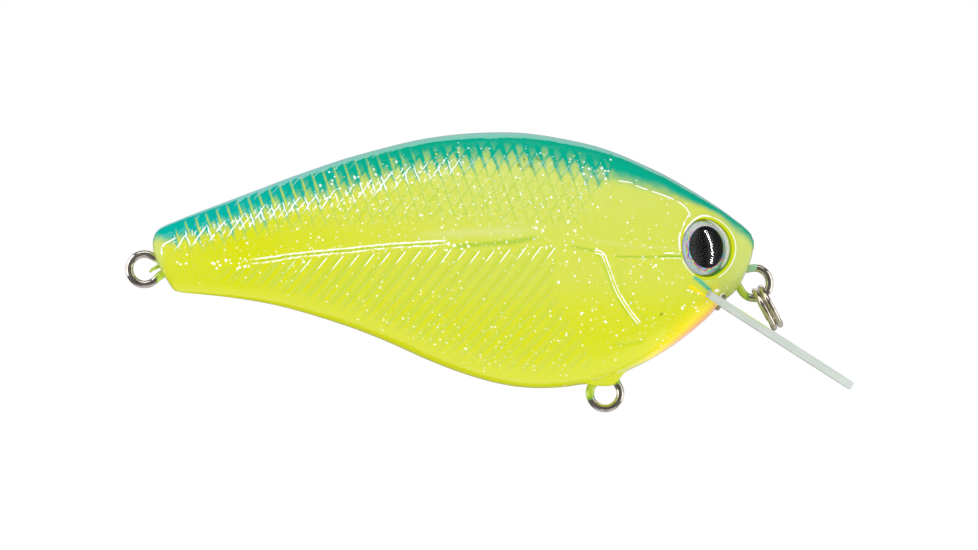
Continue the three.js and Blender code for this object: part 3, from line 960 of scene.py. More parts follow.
# --- scales: two families of lines cross; each scale is highest along its rear edges
shift_a = np.interp(
    x,
    [-30.108, -23.868, -17.628, -7.228, -0.988, 3.172, 7.332],
    [0.415, 0.437, 0.49, 0.508, 0.505, 0.466, 0.44],
)
shift_b = np.interp(
    x,
    [-30.108, -25.948, -23.868, -21.788, -19.708, -17.628,
     -15.548, -11.388, -7.228, -3.068, 1.092, 9.412],
    [0.33, 0.40, 0.45, 0.47, 0.507, 0.589, 0.658, 0.732, 0.796, 0.907, 0.942, 0.923],
)
PITCH_A, PITCH_B = 1.2428, 1.4664
flank.slant_a = (x + 0.365 * z + 40.58288) / PITCH_A - shift_a
flank.slant_b = (x - 0.72 * z + 71.27536) / PITCH_B - shift_b
low_edge = np.interp(
    x,
    [-35.308, -33.748, -30.108, -25.948, -19.708, -9.308, -0.988, 7.332, 11.492],
    [1.664, 1.456, 1.456, 2.392, 3.848, 4.68, 4.784, 4.056, 4.16],
)
front_edge = np.interp(
    z,
    [3.328, 4.368, 7.488, 8.528, 11.128, 12.688, 14.768],
    [7.956, 10.036, 11.18, 12.116, 14.092, 15.028, 15.652],
)
scale_mask = smooth(0, 1.456, z - low_edge) * smooth(0, 1.456, front_edge - x)
scale_mask *= smooth(-33.02, -32.188, x - 0.35 * (z - 3.848))
front_share = smooth(-16.588, -5.148, x)
scale_mask *= (
    smooth(0.156, 0.728, depth) * (1 - front_share) + smooth(0.936, 1.664, depth) * front_share
)
flank.scales = (
    scale_mask
    * np.interp(
        depth,
        [0, 0.624, 1.664, 3.12, 4.68, 7.28, 10.4],
        [0.0, 0.5, 1.0, 0.85, 0.5, 0.34, 0.28],
    )
    * np.interp(x, [-19.708, -7.228, 1.092, 7.332, 15.652], [1.1, 0.8, 0.5, 0.4, 0.3])
)
flank.front = scale_mask * smooth(-16.588, -3.068, x) * (1 - smooth(2.08, 6.24, depth))
flank.lattice = (
    scale_mask
    * np.interp(depth, [1.04, 2.288, 9.36, 11.44], [0.0, 0.46, 0.40, 0.30])
    * np.interp(x, [-33.228, -21.788, -11.388, -0.988, 11.492], [0.0, 0.25, 0.8, 1.0, 0.85])
)


def soft_step(phase, at, rise_share):
    t = (phase - at) % 1.0
    return np.maximum((1 - t) ** 1.5, smooth(1 - rise_share, 1, t))


relief += flank.scales * (
    0.04914 * soft_step(flank.slant_b, 0.90, 0.24)
    + 0.03276 * soft_step(flank.slant_a, 0.30, 0.22)
)

# --- lateral line: two raised lips with a groove between
mould_line(
    [(-28.652, 1.1856), (-24.492, 1.3), (-19.812, 1.976), (-13.988, 2.5168),
     (-11.388, 2.8184), (-7.748, 3.0576), (-3.9, 3.3072)],
    reach=1.664,
    beads=[(0.052, 0, 0.156), (0.0416, 0.4264, 0.156), (-0.0312, 0.2184, 0.1248)],
    start=0.10,
    fade=(0.24, 0.05),
    crease=(flank.lateral_gap, flank.lateral, 1.0),
)
# ahead of it, a dark groove, darkened with painted shade
mould_line(
    [(-4.316, 2.6), (-0.26, 2.8912), (2.132, 3.0888), (4.524, 3.4736), (6.084, 3.744)],
    reach=1.248,
    beads=[(-0.14, 0, 0.2392)],
    fade=(0.15, 0.25),
    tint=(flank.line, 0.75, 0, 0.2496),
)
# and a soft ridge above the groove, with a painted highlight along it
mould_line(
    [(-9.308, 3.692), (-4.108, 4.004), (0.052, 4.212), (4.212, 4.316), (6.916, 4.16)],
    reach=1.664,
    beads=[(0.14, 0, 0.572)],
    fade=(0.35, 0.3),
    tint=(flank.ridge, 0.45, 0.052, 0.4784),
)

# --- ribs sweeping down and back under the lateral line
lateral_z = np.interp(
    x,
    [-34.268, -28.548, -24.492, -19.812, -13.988, -9.308, -3.9, -0.26, 4.524, 7.332, 11.492],
    [1.144, 1.248, 1.404, 1.9968, 2.5584, 2.8912, 3.172, 2.912, 3.432, 3.328, 1.04],
)
bend_x = (x + 9.308) / 10.4
bend_z = np.clip((-1.872 - z) / 10.4, -0.6, 0.8)
rib_bend = (
    0.32 - 0.107 * bend_x + 0.018 * bend_z + 0.305 * bend_x * bend_z
    - 0.035 * bend_x * bend_x - 1.379 * bend_z * bend_z - 0.061 * bend_z**3
)
HALF_RIB_PITCH = 0.7748
flank.rib_phase = ((x - 0.86 * z + 75.23568) / HALF_RIB_PITCH - rib_bend) / 2
below = lateral_z - z  # below the lateral line
rib_front = np.interp(
    z,
    [-11.232, -8.112, -4.992, -1.56, 3.016, 3.744],
    [11.492, 10.66, 8.58, 6.916, 7.54, 8.58],
)
rib_mask = (
    smooth(0.52, 0.936, below)
    * smooth(-31.148, -25.948, x)
    * smooth(0, 0.832, rib_front - x)
    * smooth(0.936, 2.288, rise)
)
flank.ribs = (
    rib_mask
    * np.interp(x, [-31.148, -23.868, -15.548, -0.988, 11.492], [0.55, 0.8, 1.0, 1.0, 0.8])
    * np.interp(below, [0, 2.08, 6.24, 12.48], [1.25, 1.0, 0.8, 0.65])
)
rib_share = flank.rib_phase % 1.0
relief += flank.ribs * (
    0.0442 * smooth(0.63, 0.80, rib_share)
    - 0.026 * smooth(0.24, 0.41, rib_share)
    - 0.0182 * smooth(0.40, 0.66, rib_share)
)

# --- gill cover edge: a double line, with a swelling on its left side
GILL_TOP = (10.7432, 2.2568)
near, offset, share = mould_line(
    [GILL_TOP, (11.4608, 2.1632), (11.8664, 1.8512), (12.2616, 0.9048), (12.74, -0.364),
     (13.208, -1.6432), (13.9256, -2.912), (14.7992, -4.1912), (15.6832, -5.304)],
    reach=2.704,
    beads=[(0.0676, 0, 0.156), (0.0468, 0.3016, 0.1456)],
    fade=(0.03, 0.03),
    crease=(flank.gill_gap, flank.gill, 1.0),
)
relief[near] += (
    ends(share, (0.03, 0.03)) * 0.06 * smooth(0, -0.208, offset) * np.exp(-np.abs(offset) / 1.664)
)
# the groove that leads to its top, darkened with painted shade
mould_line(
    [(7.956, 2.7872), (9.516, 2.4752), GILL_TOP],
    reach=1.04,
    beads=[(-0.08, 0.0312, 0.156), (0.04, -0.2496, 0.156)],
    fade=(0.35, 0.0),
    tint=(flank.line, 0.55, 0.0312, 0.1456),
)
# second, faint gill curve and the crease under it, both darkened with painted shade
mould_line(
    [(12.9688, 1.5392), (13.208, 0.416), (13.9256, -1.7992),
     (15.028, -3.64), (16.172, -4.888), (17.108, -5.72)],
    reach=1.04,
    beads=[(-0.035, 0, 0.1768)],
    fade=(0.1, 0.15),
    tint=(flank.line, 0.12, 0, 0.1456),
)
mould_line(
    [(12.324, -7.4048), (13.988, -7.5088), (15.444, -7.176), (16.692, -6.552)],
    reach=1.248,
    beads=[(-0.06, 0, 0.2496)],
    fade=(0.2, 0.3),
    tint=(flank.line, 0.3, 0, 0.2288),
)

# --- cheek groove with a lit lower lip, and two soft bars above it
near, offset, share = mould_line(
    [(12.792, 1.6328), (14.612, 1.5704), (16.692, 1.5704), (18.564, 1.6432), (19.916, 1.56)],
    reach=1.04,
    beads=[(-0.0416, 0, 0.1352), (0.0364, 0.1976, 0.1248)],
    fade=(0.05, 0.0),
)
cheek_strength = ends(share, (0.05, 0.0)) * (0.75 + 0.5 * smooth(0.6, 0.9, share))
mark_crease(flank.cheek_gap, flank.cheek, near, offset, cheek_strength)
mould_line(
    [(17.732, 1.8928), (18.772, 1.9552), (19.552, 1.9136)],
    reach=0.832,
    beads=[(0.05, 0, 0.1248)],
    fade=(0.3, 0.0),
    crease=(flank.plate_gap, flank.plate, 0.9),
)
# the upper bar carries a painted highlight
mould_line(
    [(8.7568, 3.6192), (11.6168, 3.1408), (14.1648, 2.7456), (16.692, 2.5792), (19.604, 2.496)],
    reach=1.248,
    beads=[(0.05, 0, 0.2704)],
    fade=(0.2, 0.1),
    tint=(flank.ridge, 0.22, 0, 0.208),
)

# --- head plate: its raised edge runs above the cheek, turns down behind the eye
# and passes under it
near, offset, share = mould_line(
    [(13.156, 9.464), (13.884, 9.3392), (14.612, 9.2144), (15.236, 8.8816), (16.38, 8.4656),
     (17.94, 7.9248), (18.772, 7.6128), (19.708, 7.1136), (20.28, 6.656), (20.748, 5.9904)],
    reach=2.288,
    beads=[(0.07, 0, 0.156)],
    fade=(0.06, 0.0),
)
shelf = smooth(-0.1456, 0.1456, offset) * np.exp(-np.maximum(offset, 0) / 1.456)
relief[near] += ends(share, (0.06, 0.0)) * 0.07 * shelf
plate_strength = ends(share, (0.05, 0.0)) * np.interp(share, [0, 0.6, 1], [0.8, 1.0, 1.15])
mark_crease(flank.plate_gap, flank.plate, near, offset, plate_strength)
for points in (
    [(20.7064, 5.9696), (20.3944, 5.668), (20.072, 4.992), (19.7704, 4.264),
     (19.5624, 3.4528), (19.6248, 2.6), (19.6664, 1.9968)],
    [(19.9576, 1.1856), (20.228, 0.7904), (20.5816, 0.2704), (20.9976, -0.3328)],
):
    mould_line(
        points,
        reach=0.832,
        beads=[(0.08, 0, 0.1456)],
        paint_fade=(0.03, 0.05),
        crease=(flank.plate_gap, flank.plate, 1.6),
    )
# a step at the tail, between the end of the scales and the blunt end
mould_line(
    [(-34.0288, 1.664), (-34.0392, 2.184), (-33.9976, 2.5584),
     (-33.8104, 2.8496), (-33.332, 3.1408), (-32.5, 3.536)],
    reach=0.832,
    beads=[(0.04, 0, 0.1456)],
    fade=(0.1, 0.1),
    paint_fade=(0.1, 0.08),
    crease=(flank.plate_gap, flank.plate, 1.1),
)

# --- slot for the lip: filled with paint, its two edges still show
mould_line(
    [(20.9976, -0.52), (21.944, -1.1856), (22.828, -1.8304)],
    reach=0.832,
    beads=[(-0.10, 0, 0.1352)],
    paint_fade=(0.05, 0.0),
    tint=(flank.glaze, 1.0, 0, 0.1976),
)
mould_line(
    [(20.8312, -1.5392), (21.58, -2.0176), (22.568, -2.7664)],
    reach=0.832,
    beads=[(-0.08, 0, 0.1248)],
    tint=(flank.orange, 0.52, 0, 0.1768),
)

# --- a bare pit over the slot with a lit upper rear rim, a glint behind it, and dark specks
PIT_X, PIT_Z = 24.3256, -2.5584
pit = np.hypot((x - PIT_X) / 0.26, (z - PIT_Z) / 0.2288)
flank.bare = 1 - smooth(0.75, 1.15, pit)
relief -= 0.10 * (1 - smooth(0.4, 1.1, pit))
lit_side = smooth(-0.2, 0.7, (PIT_X - x) / 0.416 + (z - PIT_Z) / 0.624)
pit_rim = 0.9 * np.exp(-((pit - 1.35) ** 2) / 0.08) * lit_side * (pit < 3)
glint = bead(x, 23.5976, 0.2704) * bead(z, -1.9344, 0.1768)
flank.glints = np.maximum(np.maximum(flank.glints, pit_rim), glint)
for speck_x, speck_z, radius in (
    (3.6088, 11.648, 0.1144), (2.9952, 11.0448, 0.1248), (4.264, 10.92, 0.1248),
    (4.9088, 11.7312, 0.1144), (5.1376, 11.5856, 0.104), (17.784, -4.368, 0.1248),
):
    speck = 0.8 * bead(x, speck_x, radius) * bead(z, speck_z, radius * 1.3)
    flank.dark = np.maximum(flank.dark, speck)

# --- larger flakes that gathered in a few places as the coat flowed, drawn as painted glints that glow
rng = np.random.default_rng(11)
# centre x, z, spread along x, z, count
for centre_x, centre_z, spread_x, spread_z, count in (
    (-26.676, 0.832, 1.56, 0.3328, 17), (20.956, -3.224, 0.728, 0.7488, 9),
    (17.42, 0.624, 0.416, 0.5824, 4), (-3.276, 2.704, 0.936, 0.208, 12),
    (11.492, 10.4, 0.936, 0.5824, 7), (-14.508, 9.36, 3.12, 0.6656, 16),
    (-32.396, 1.04, 0.936, 0.4992, 4),
):
    for _ in range(count):
        flake_x = centre_x + spread_x * rng.uniform(-1.4, 1.4)
        flake_z = centre_z - spread_z * rng.normal()
        radius = rng.uniform(0.0936, 0.1404)
        squared = ((x - flake_x) / radius) ** 2 + ((z - flake_z) / radius) ** 2
        flank.glints = np.maximum(flank.glints, 0.95 * np.exp(-(squared**1.6)))

# --- the teal back: x, depth where it is solid, depth where it has faded out
TEAL_DEPTHS = np.array([
    (-35.308, -0.624, 0.624), (-34.476, 0.208, 1.456), (-33.748, 0.936, 2.288),
    (-33.02, 1.248, 2.704), (-31.668, 1.352, 2.808), (-25.948, 0.936, 3.952),
    (-15.548, 1.04, 4.368), (-9.308, 0.936, 4.264), (-4.108, 0.728, 4.056),
    (3.172, 0.728, 3.952), (7.332, 0.728, 4.16), (11.492, 0.832, 4.576),
    (13.572, 1.56, 3.536), (15.652, 1.248, 3.224), (17.732, 0.936, 2.808),
    (19.812, 0.936, 2.08), (21.892, 0.728, 1.456), (23.972, 0.312, 1.04),
    (25.532, 0.208, 1.664), (27.612, 0.0, 1.768),
])
solid, faded = (np.interp(x, TEAL_DEPTHS[:, 0], TEAL_DEPTHS[:, k]) for k in (1, 2))
flank.teal = np.clip((depth - solid) / (faded - solid), -1.5, 3.0)
flank.teal += 0.10 * scale_mask * np.sin(2.01923 * x + 2.264035)
flank.thin = (
    window(depth, (0.104, 0.416), (2.912, 4.16))
    * (1 - smooth(-9.828, -4.108, x))
    * np.interp(x, [-19.708, -7.228], [1.0, 0.7])
)

# --- other colour masks
# paler ground along the body and toward the back; the lift on the nose is painted light that
# makes up for its shade
pale_along = np.interp(
    x,
    [-34.788, -33.644, -25.948, -19.708, -9.308, 1.092, 15.652, 21.892, 24.492, 28.132],
    [0.8, 0.35, 0.02, 0.20, 0.60, 0.95, 0.92, 0.85, 1.2, 1.3],
)
pale_up = np.interp(
    z,
    [-12.272, -7.072, -3.952, -0.832, 2.288, 5.408, 9.568, 14.768],
    [0.05, 0.08, 0.16, 0.46, 0.50, 0.62, 0.85, 0.95],
)
nose = smooth(21.892, 25.532, x)
pale_tail = 0.7 * (1 - smooth(-34.684, -33.436, x))
flank.pale = np.clip(pale_along * (pale_up * (1 - nose) + 0.82 * nose) + pale_tail, 0, 1)
throat = np.interp(rise, [0, 0.312, 0.936, 1.56, 3.536], [1.1, 0.85, 0.5, 0.3, 0.0])
throat = throat * window(x, (12.74, 21.892), (23.348, 24.18))
flank.orange = np.maximum(flank.orange, np.clip(throat, 0, 1.1))
# painted shade: a dark green line along the rear belly edge
flank.edge = 0.85 * np.exp(-belly_run / 0.25) * window(x, (-19.708, -9.308), (-2.028, 5.252))
along_lateral = bead(below, 0.208, 0.624) * window(x, (-29.588, -25.948), (3.172, 7.332))
on_scales = smooth(0.05, 0.5, scale_mask) * smooth(-19.708, -11.388, x)
flank.flake = np.clip(
    smooth(0.25, 0.9, flank.teal + 0.3)
    * np.interp(
        x,
        [-34.268, -30.108, -23.868, -16.588, 11.492, 19.812, 26.052],
        [0.35, 0.4, 0.55, 0.9, 1.0, 0.9, 0.3],
    )
    * np.interp(rise, [0, 0.832, 2.288, 4.16], [0.05, 0.25, 0.8, 1.0])
    * (1 + 1.6 * along_lateral)
    * (1 + 0.9 * on_scales)
    * (1 + 1.1 * bead(x, 20.852, 2.704) * bead(z, -3.432, 2.288)),
    0, 3,
)
# the band of painted highlight strokes on the scales
stroke_z = np.interp(
    x,
    [-34.268, -31.876, -26.676, -23.14, -17.94, -14.508,
     -9.308, -5.148, -0.988, 3.172, 8.372, 11.492],
    [2.704, 3.328, 4.68, 6.136, 7.28, 7.904, 9.776, 10.712, 11.336, 11.648, 10.504, 9.88],
)
stroke_height = np.interp(
    x, [-19.708, -7.228, -3.068, 3.172, 13.572], [0.884, 1.04, 0.832, 0.624, 0.728]
)
flank.strokes = (
    np.exp(-(((z - stroke_z) / stroke_height) ** 4))
    * np.interp(
        x,
        [-33.228, -32.396, -9.308, -4.108, -0.988, 11.492, 14.092],
        [0, 1, 1, 0.75, 0.35, 0.4, 0],
    )
    * smooth(0.02, 0.2, scale_mask)
)
# painted highlights on the rib tops, just under the lateral line
tip_end = 2.496 + 0.312 * np.sin(1.826923 * x + 5.040406)
flank.rib_tips = (
    window(below, (0.676, 0.936), (1.456, tip_end))
    * window(x, (-23.66, -17.628), (6.916, 7.956))
    * (rib_mask > 0.01)
)
on_scales = smooth(0, 0.5, scale_mask) * smooth(-24.908, -16.588, x)
flank.grain = (
    np.clip(flank.teal * 1.4, 0, 1)
    * smooth(0.624, 2.288, rise)
    * np.clip(0.45 + 0.65 * on_scales, 0, 1)
)

# ---------------------------------------------------------------- eye socket
# A flat-floored recess with a raised, rounded rim; the grid's rows are drawn in to its wall.
EYE_CENTRE = np.array([22.5, 4.55, 2.52])
EYE_NORMAL = np.array([0.57, 0.819, 0.066])
EYE_NORMAL /= np.linalg.norm(EYE_NORMAL)
SOCKET_FLOOR = -1.02
eye_up = np.array([0, 0, 1.0]) - EYE_NORMAL * EYE_NORMAL[2]
eye_up /= np.linalg.norm(eye_up)
eye_along = np.cross(EYE_NORMAL, eye_up)  # toward the nose
from_eye = base - EYE_CENTRE
height = from_eye @ EYE_NORMAL
along, up = from_eye @ eye_along, from_eye @ eye_up
rho = np.hypot(along, up)
near_eye = (rho < 4.5) & (np.abs(height) < 3.0)
fitted = (rho < 5.0) & (np.abs(height) < 3.0)


def terms(a, b):
    """Terms of a quartic surface."""
    return np.stack([a**i * b**j for i in range(5) for j in range(5 - i)], -1)


def at_eye(changed, layer):
    return np.where(near_eye, changed, layer)


ground_fit = np.linalg.lstsq(terms(along[fitted], up[fitted]), height[fitted], rcond=None)[0]
relief = at_eye(relief * smooth(3.3, 3.9, rho), relief)
for name in ("line", "ridge", "plate", "cheek"):
    layer = getattr(flank, name)
    setattr(flank, name, at_eye(layer * smooth(3.15, 3.4, rho), layer))
surface = base + relief[..., None] * normals
new_rho = np.interp(rho, [0, 2.40, 2.60, 3.02, 3.55, 4.3, 9], [0, 2.86, 2.93, 3.04, 3.46, 4.3, 9])
safe_rho = np.maximum(rho, 1e-6)
new_along, new_up = along / safe_rho * new_rho, up / safe_rho * new_rho
ground = terms(new_along, new_up) @ ground_fit
wall = smooth(2.92, 3.05, new_rho)
phi = np.arctan2(new_up, new_along)
rear = smooth(0.35, 0.95, -np.cos(phi + 0.35))  # share of the side toward the tail
crest, crest_width = 3.36 - 0.23 * rear, 0.20 - 0.08 * rear
rim = 0.17 * bead(new_rho, crest, np.where(new_rho < crest, crest_width, crest_width * 1.25))
target = wall * (ground + rim) + (1 - wall) * SOCKET_FLOOR
moved = (
    EYE_CENTRE
    + new_along[..., None] * eye_along
    + new_up[..., None] * eye_up
    + target[..., None] * EYE_NORMAL
)
blend = at_eye(1 - smooth(3.85, 4.4, rho), 0.0)[..., None]
surface = surface * (1 - blend) + moved * blend

# the socket's paint, with painted shade in the gap round the foil and at the foot of its lower
# front wall, and a painted highlight on the rim's crest
flank.teal = at_eye(flank.teal + 3.0 * (1 - smooth(3.5, 3.8, new_rho)), flank.teal)
pale_and_rim_highlight = flank.pale * smooth(3.0, 3.9, new_rho) + 0.35 * bead(new_rho, 3.45, 0.2)
flank.pale = at_eye(np.clip(pale_and_rim_highlight, 0, 1), flank.pale)
rings = 0.9 * bead(new_rho, 2.95, 0.035) + 0.8 * (1 - rear) * (
    bead(new_rho, 3.01, 0.02) + bead(new_rho, 3.27, 0.04)
)
flank.line = at_eye(np.clip(np.maximum(flank.line, rings), 0, 1), flank.line)
lower_front = np.cos(phi + 0.95)
rim_shade = 0.9 * bead(new_rho, 2.99, 0.05) * smooth(0.55, 0.95, lower_front)
flank.edge = at_eye(np.maximum(flank.edge, rim_shade), flank.edge)
rim_foot_shade = 0.35 * bead(new_rho, 2.98, 0.03) * smooth(0.6, 0.95, lower_front)
flank.glaze = at_eye(
    np.maximum(flank.glaze * smooth(3.22, 3.42, new_rho), rim_foot_shade), flank.glaze
)
# glints round the rim: distance from the centre, width, degrees of rise and fall
degrees = np.degrees(phi)
rim_glints = reduce(np.maximum, [
    bead(new_rho, at, width) * window(degrees, lit, unlit)
    for at, width, lit, unlit in (
        (crest, 0.05, (-72, -60), (66, 78)),
        (crest - 0.02, 0.09, (66, 84), (140, 158)),
        (2.975, 0.022, (-55, -30), (70, 84)),
        (3.24, 0.06, (-162, -152), (-124, -114)),
    )
])
flank.glints = np.where(near_eye & (rho < 4.3), rim_glints, flank.glints)
flank.strokes = at_eye(0, flank.strokes)
flank.grain = at_eye(0, flank.grain)
flank.flake = at_eye(flank.flake * smooth(3.5, 4.0, new_rho), flank.flake)

# ---------------------------------------------------------------- body halves
# a boss under the belly for the front hook eye
BOSS_X, BOSS_Z = 11.85, -11.86
boss = np.exp(-(((x - BOSS_X) / 1.75) ** 4) - (base[..., 1] / 1.05) ** 4)
boss = boss * smooth(0.25, 0.8, -normals[..., 2])
boss_z = np.minimum(surface[..., 2], BOSS_Z)
surface[..., 2] = surface[..., 2] * (1 - boss) + boss_z * boss
surface[:, 0, 1] = surface[:, -1, 1] = GAP
surface[..., 1] = np.maximum(surface[..., 1], GAP)

# inner face of the hollow shell
WALL = 1.1
cavity_x = np.linspace(-26.5, 17.6, 60)
cavity, _ = sections(cavity_x, WALL, 36)
ease = np.minimum(cavity_x - cavity_x[0], cavity_x[-1] - cavity_x) / 1.5
ease = np.minimum(1, ease) ** 0.5
middle = (cavity[:, :1, 2] + cavity[:, -1:, 2]) / 2
cavity[..., 2] = middle + (cavity[..., 2] - middle) * (0.55 + 0.45 * ease)[:, None]
cavity[..., 1] = np.maximum(cavity[..., 1] * (0.02 + 0.98 * ease)[:, None], GAP)
cavity[:, 0, 1] = cavity[:, -1, 1] = GAP

# what the paint's layers hold on the inner face, where it isn't 0
INNER_LAYERS = {"pale": 0.6, "teal": 3.0}
INNER_LAYERS |= {f"{line}_gap": FAR for line in ("lateral", "gill", "plate", "cheek")}


def rim_loop(rows, columns, start):
    """Vertices along a grid's back edge, then back along its belly edge."""
    back = [start + i * columns for i in range(rows)]
    return back + [i + columns - 1 for i in reversed(back)]


def build_half(name, side):
    """A closed half shell: outer and inner grids, their ends, and the flat mating face."""
    rows, columns = SHAPE
    in_rows, in_columns = cavity.shape[:2]
    start = rows * columns
    verts = np.vstack([surface.reshape(-1, 3), cavity.reshape(-1, 3)])
    verts[:, 1] *= side
    quads = np.concatenate([
        grid_faces(rows, columns, 0, flip=side > 0),
        grid_faces(in_rows, in_columns, start, flip=side < 0),
    ]).tolist()
    # a grid's end row closes on itself across a hair-thin strip
    fill = []
    for first, count, reverse in (
        (0, columns, False),
        ((rows - 1) * columns, columns, True),
        (start, in_columns, True),
        (start + (in_rows - 1) * in_columns, in_columns, False),
    ):
        ids = list(range(first, first + count))
        fill.append(ids[::-1] if reverse != (side > 0) else ids)
    # the mating face looks to the other half
    loops = [rim_loop(rows, columns, 0), rim_loop(in_rows, in_columns, start)]
    order = loops[0] + loops[1]
    plane = []
    for triangle in geometry.tessellate_polygon(
        [[Vector((verts[i][0], verts[i][2], 0)) for i in loop] for loop in loops]
    ):
        ids = [order[k] for k in triangle]
        a, b, c = (verts[i] for i in ids)
        facing = np.cross(b - a, c - a)[1]
        plane.append(ids if facing * side < 0 else ids[::-1])
    ob = new_object(name, verts, quads + fill + plane)
    mesh = ob.data
    soft = np.ones(len(mesh.polygons), bool)
    soft[len(quads):] = False
    mesh.polygons.foreach_set("use_smooth", soft)
    # hard edges round the mating face
    on_rim = np.zeros(len(verts), bool)
    on_rim[order] = True
    edges = np.empty(len(mesh.edges) * 2, int)
    mesh.edges.foreach_get("vertices", edges)
    if "sharp_edge" not in mesh.attributes:
        mesh.attributes.new("sharp_edge", "BOOLEAN", "EDGE")
    sharp = on_rim[edges.reshape(-1, 2)].all(1)
    mesh.attributes["sharp_edge"].data.foreach_set("value", sharp)
    for layer_name, attribute in LAYERS.items():
        inner = np.full(len(verts) - start, INNER_LAYERS.get(layer_name, 0.0))
        set_attribute(ob, attribute, np.r_[getattr(flank, layer_name).reshape(-1), inner])
    return ob


paint = body_paint()
for label, side in (("left", 1), ("right", -1)):
    half = build_half(f"{label}_body_half", side)
    hand_over(half, paint, f"{label}_body_shell", "painted_body")

# ---------------------------------------------------------------- wire eyes
WIRE_R, LOOP_R = 0.4, 1.58
LEG = 4.2
# one leg of the wire from its buried end: place along the eye's axis, distance from it
LEG_POINTS = [
    (-LEG - 0.55, 1.75), (-LEG - 0.5, 1.15), (-LEG, 0.68),
    (-LEG * 0.75, 0.56), (-2.55, 0.56), (-1.8, 0.72),
]
eye_metal = wire_metal("eye_wire", tone=(224, 217, 204), rough=0.10, painted=True)


def eye_path(x, z, out):
    """Path of a wire eye whose loop is centred at (x, z) and points out at an angle."""
    angle = math.radians(out)
    points = [(s, -q) for s, q in LEG_POINTS]
    for i in range(15):
        t = math.radians(-132 + 264 * i / 14)
        points.append((LOOP_R * math.cos(t), LOOP_R * math.sin(t)))
    points += LEG_POINTS[::-1]
    cosine, sine = math.cos(angle), math.sin(angle)
    turned = [(x + s * cosine - q * sine, 0, z + s * sine + q * cosine) for s, q in points]
    return evenly(catmull(turned, 10), 150)


def wire_eye(name, node, x, z, out, painted, coat=0.05, extra=None):
    """A wire eye; painted gives the share of paint at points, coat its thickness."""
    route = eye_path(x, z, out)
    share = painted(route)
    verts, faces = sweep(route, WIRE_R + coat * share * smooth(0.55, 1.0, share), 28)
    if extra is not None:
        faces += [tuple(i + len(verts) for i in face) for face in extra[1]]
        verts = np.vstack([verts, extra[0]])
    ob = new_object(name, verts, faces)
    set_attribute(ob, "paint", painted(verts))
    cool = smooth(26.0, 27.2, verts[:, 0]) * smooth(-1.5, -0.9, verts[:, 2])
    set_attribute(ob, "cool", cool)
    hand_over(ob, eye_metal, node, "steel_wire")


TIE_X, TIE_Z = 27.54, -1.15


def tie_paint(v):
    return 1.15 - 1.15 * smooth(26.9, 27.75, v[:, 0] - 0.25 * (v[:, 2] - TIE_Z))


def belly_paint(v):
    return smooth(-12.9, -11.9, v[:, 2] - 0.55 * (v[:, 0] - 12.0))


def tail_paint(v):
    on_spur = np.hypot(v[:, 0] + 34.8, v[:, 2] - 0.35) < 0.85
    return np.maximum(smooth(-34.95, -34.25, v[:, 0]), on_spur * 1.0)


wire_eye("line_tie_wire", "line_tie_eye", TIE_X, TIE_Z, -25, tie_paint, coat=0.0)
wire_eye("belly_eye_wire", "belly_hook_eye", 12.03, -12.6, -96, belly_paint)
# a run of paint left a small spur inside the tail loop
spur_points = [(-34.2, 0.1, 0.72), (-34.75, 0.0, 0.42), (-35.15, -0.02, 0.2), (-35.3, 0, 0.02)]
spur = sweep(evenly(catmull(spur_points, 8), 14), np.linspace(0.24, 0.13, 14), 14)
wire_eye("tail_eye_wire", "tail_hook_eye", -35.87, 0.3, 187, tail_paint, extra=spur)

# ---------------------------------------------------------------- split ring
RING_R, RING_WIRE = 2.17, 0.32
COIL_SHIFT = 0.35  # of each turn to its side of the ring's middle
HANG = math.radians(-62)  # direction from the line tie to the ring's centre
REACH = 0.74 + RING_R
turns = 2 * np.pi * (0.02 + 1.96 * np.linspace(0, 1, 260))
jog = smooth(2 * np.pi - 0.5, 2 * np.pi + 0.5, turns)
ring_along = np.array([math.cos(HANG), 0, math.sin(HANG)])
ring_axis = np.array([-math.sin(HANG), 0, math.cos(HANG)])
ring_path = (
    np.array([TIE_X, 0, TIE_Z])
    + REACH * ring_along
    + RING_R * np.cos(turns + 0.9)[:, None] * ring_along
    + RING_R * np.sin(turns + 0.9)[:, None] * np.array([0, 1.0, 0])
    + COIL_SHIFT * (2 * jog - 1)[:, None] * ring_axis
)
ring_coil = new_object("split_ring_coil", *sweep(ring_path, RING_WIRE, 22))
ring_metal = wire_metal("ring_nickel", tone=(224, 214, 198), rough=0.08)
hand_over(ring_coil, ring_metal, "split_ring", "steel_wire", body="split_ring_body")

# ---------------------------------------------------------------- lip and its pin
LIP_TILT = math.radians(32.7)
LIP_ORIGIN = np.array([31.3, 0, -7.8])
LIP_T = 0.8
LIP_EDGE = 0.09  # rounding of the edges
# one side from root to tip, in the lip's plane: place along it, half width, corner radius
LIP_OUTLINE = [
    (-12.3, 3.6, 0.2), (-11.9, 4.0, 0.2), (-10.1, 4.0, 0.05), (-10.1, 4.7, 0.3),
    (-7.5, 5.6, 0.8), (-4.0, 6.5, 1.2), (4.7, 6.5, 1.2), (7.5, 3.9, 0.9),
]


def round_outline(corners):
    """Round each (x, y, radius) corner of a closed outline with a parabola."""
    points = np.array([corner[:2] for corner in corners], float)
    out = []
    for i, p in enumerate(points):
        before = points[i - 1] - p
        after = points[(i + 1) % len(points)] - p
        length_a, length_b = np.linalg.norm(before), np.linalg.norm(after)
        before, after = before / length_a, after / length_b
        angle = math.acos(np.clip(before @ after, -1, 1))
        cut = min(corners[i][2] / math.tan(angle / 2), 0.45 * length_a, 0.45 * length_b)
        for k in range(7):
            t = k / 6
            start, end = p + before * cut, p + after * cut
            out.append((1 - t) ** 2 * start + 2 * t * (1 - t) * p + t * t * end)
    return np.array(out)


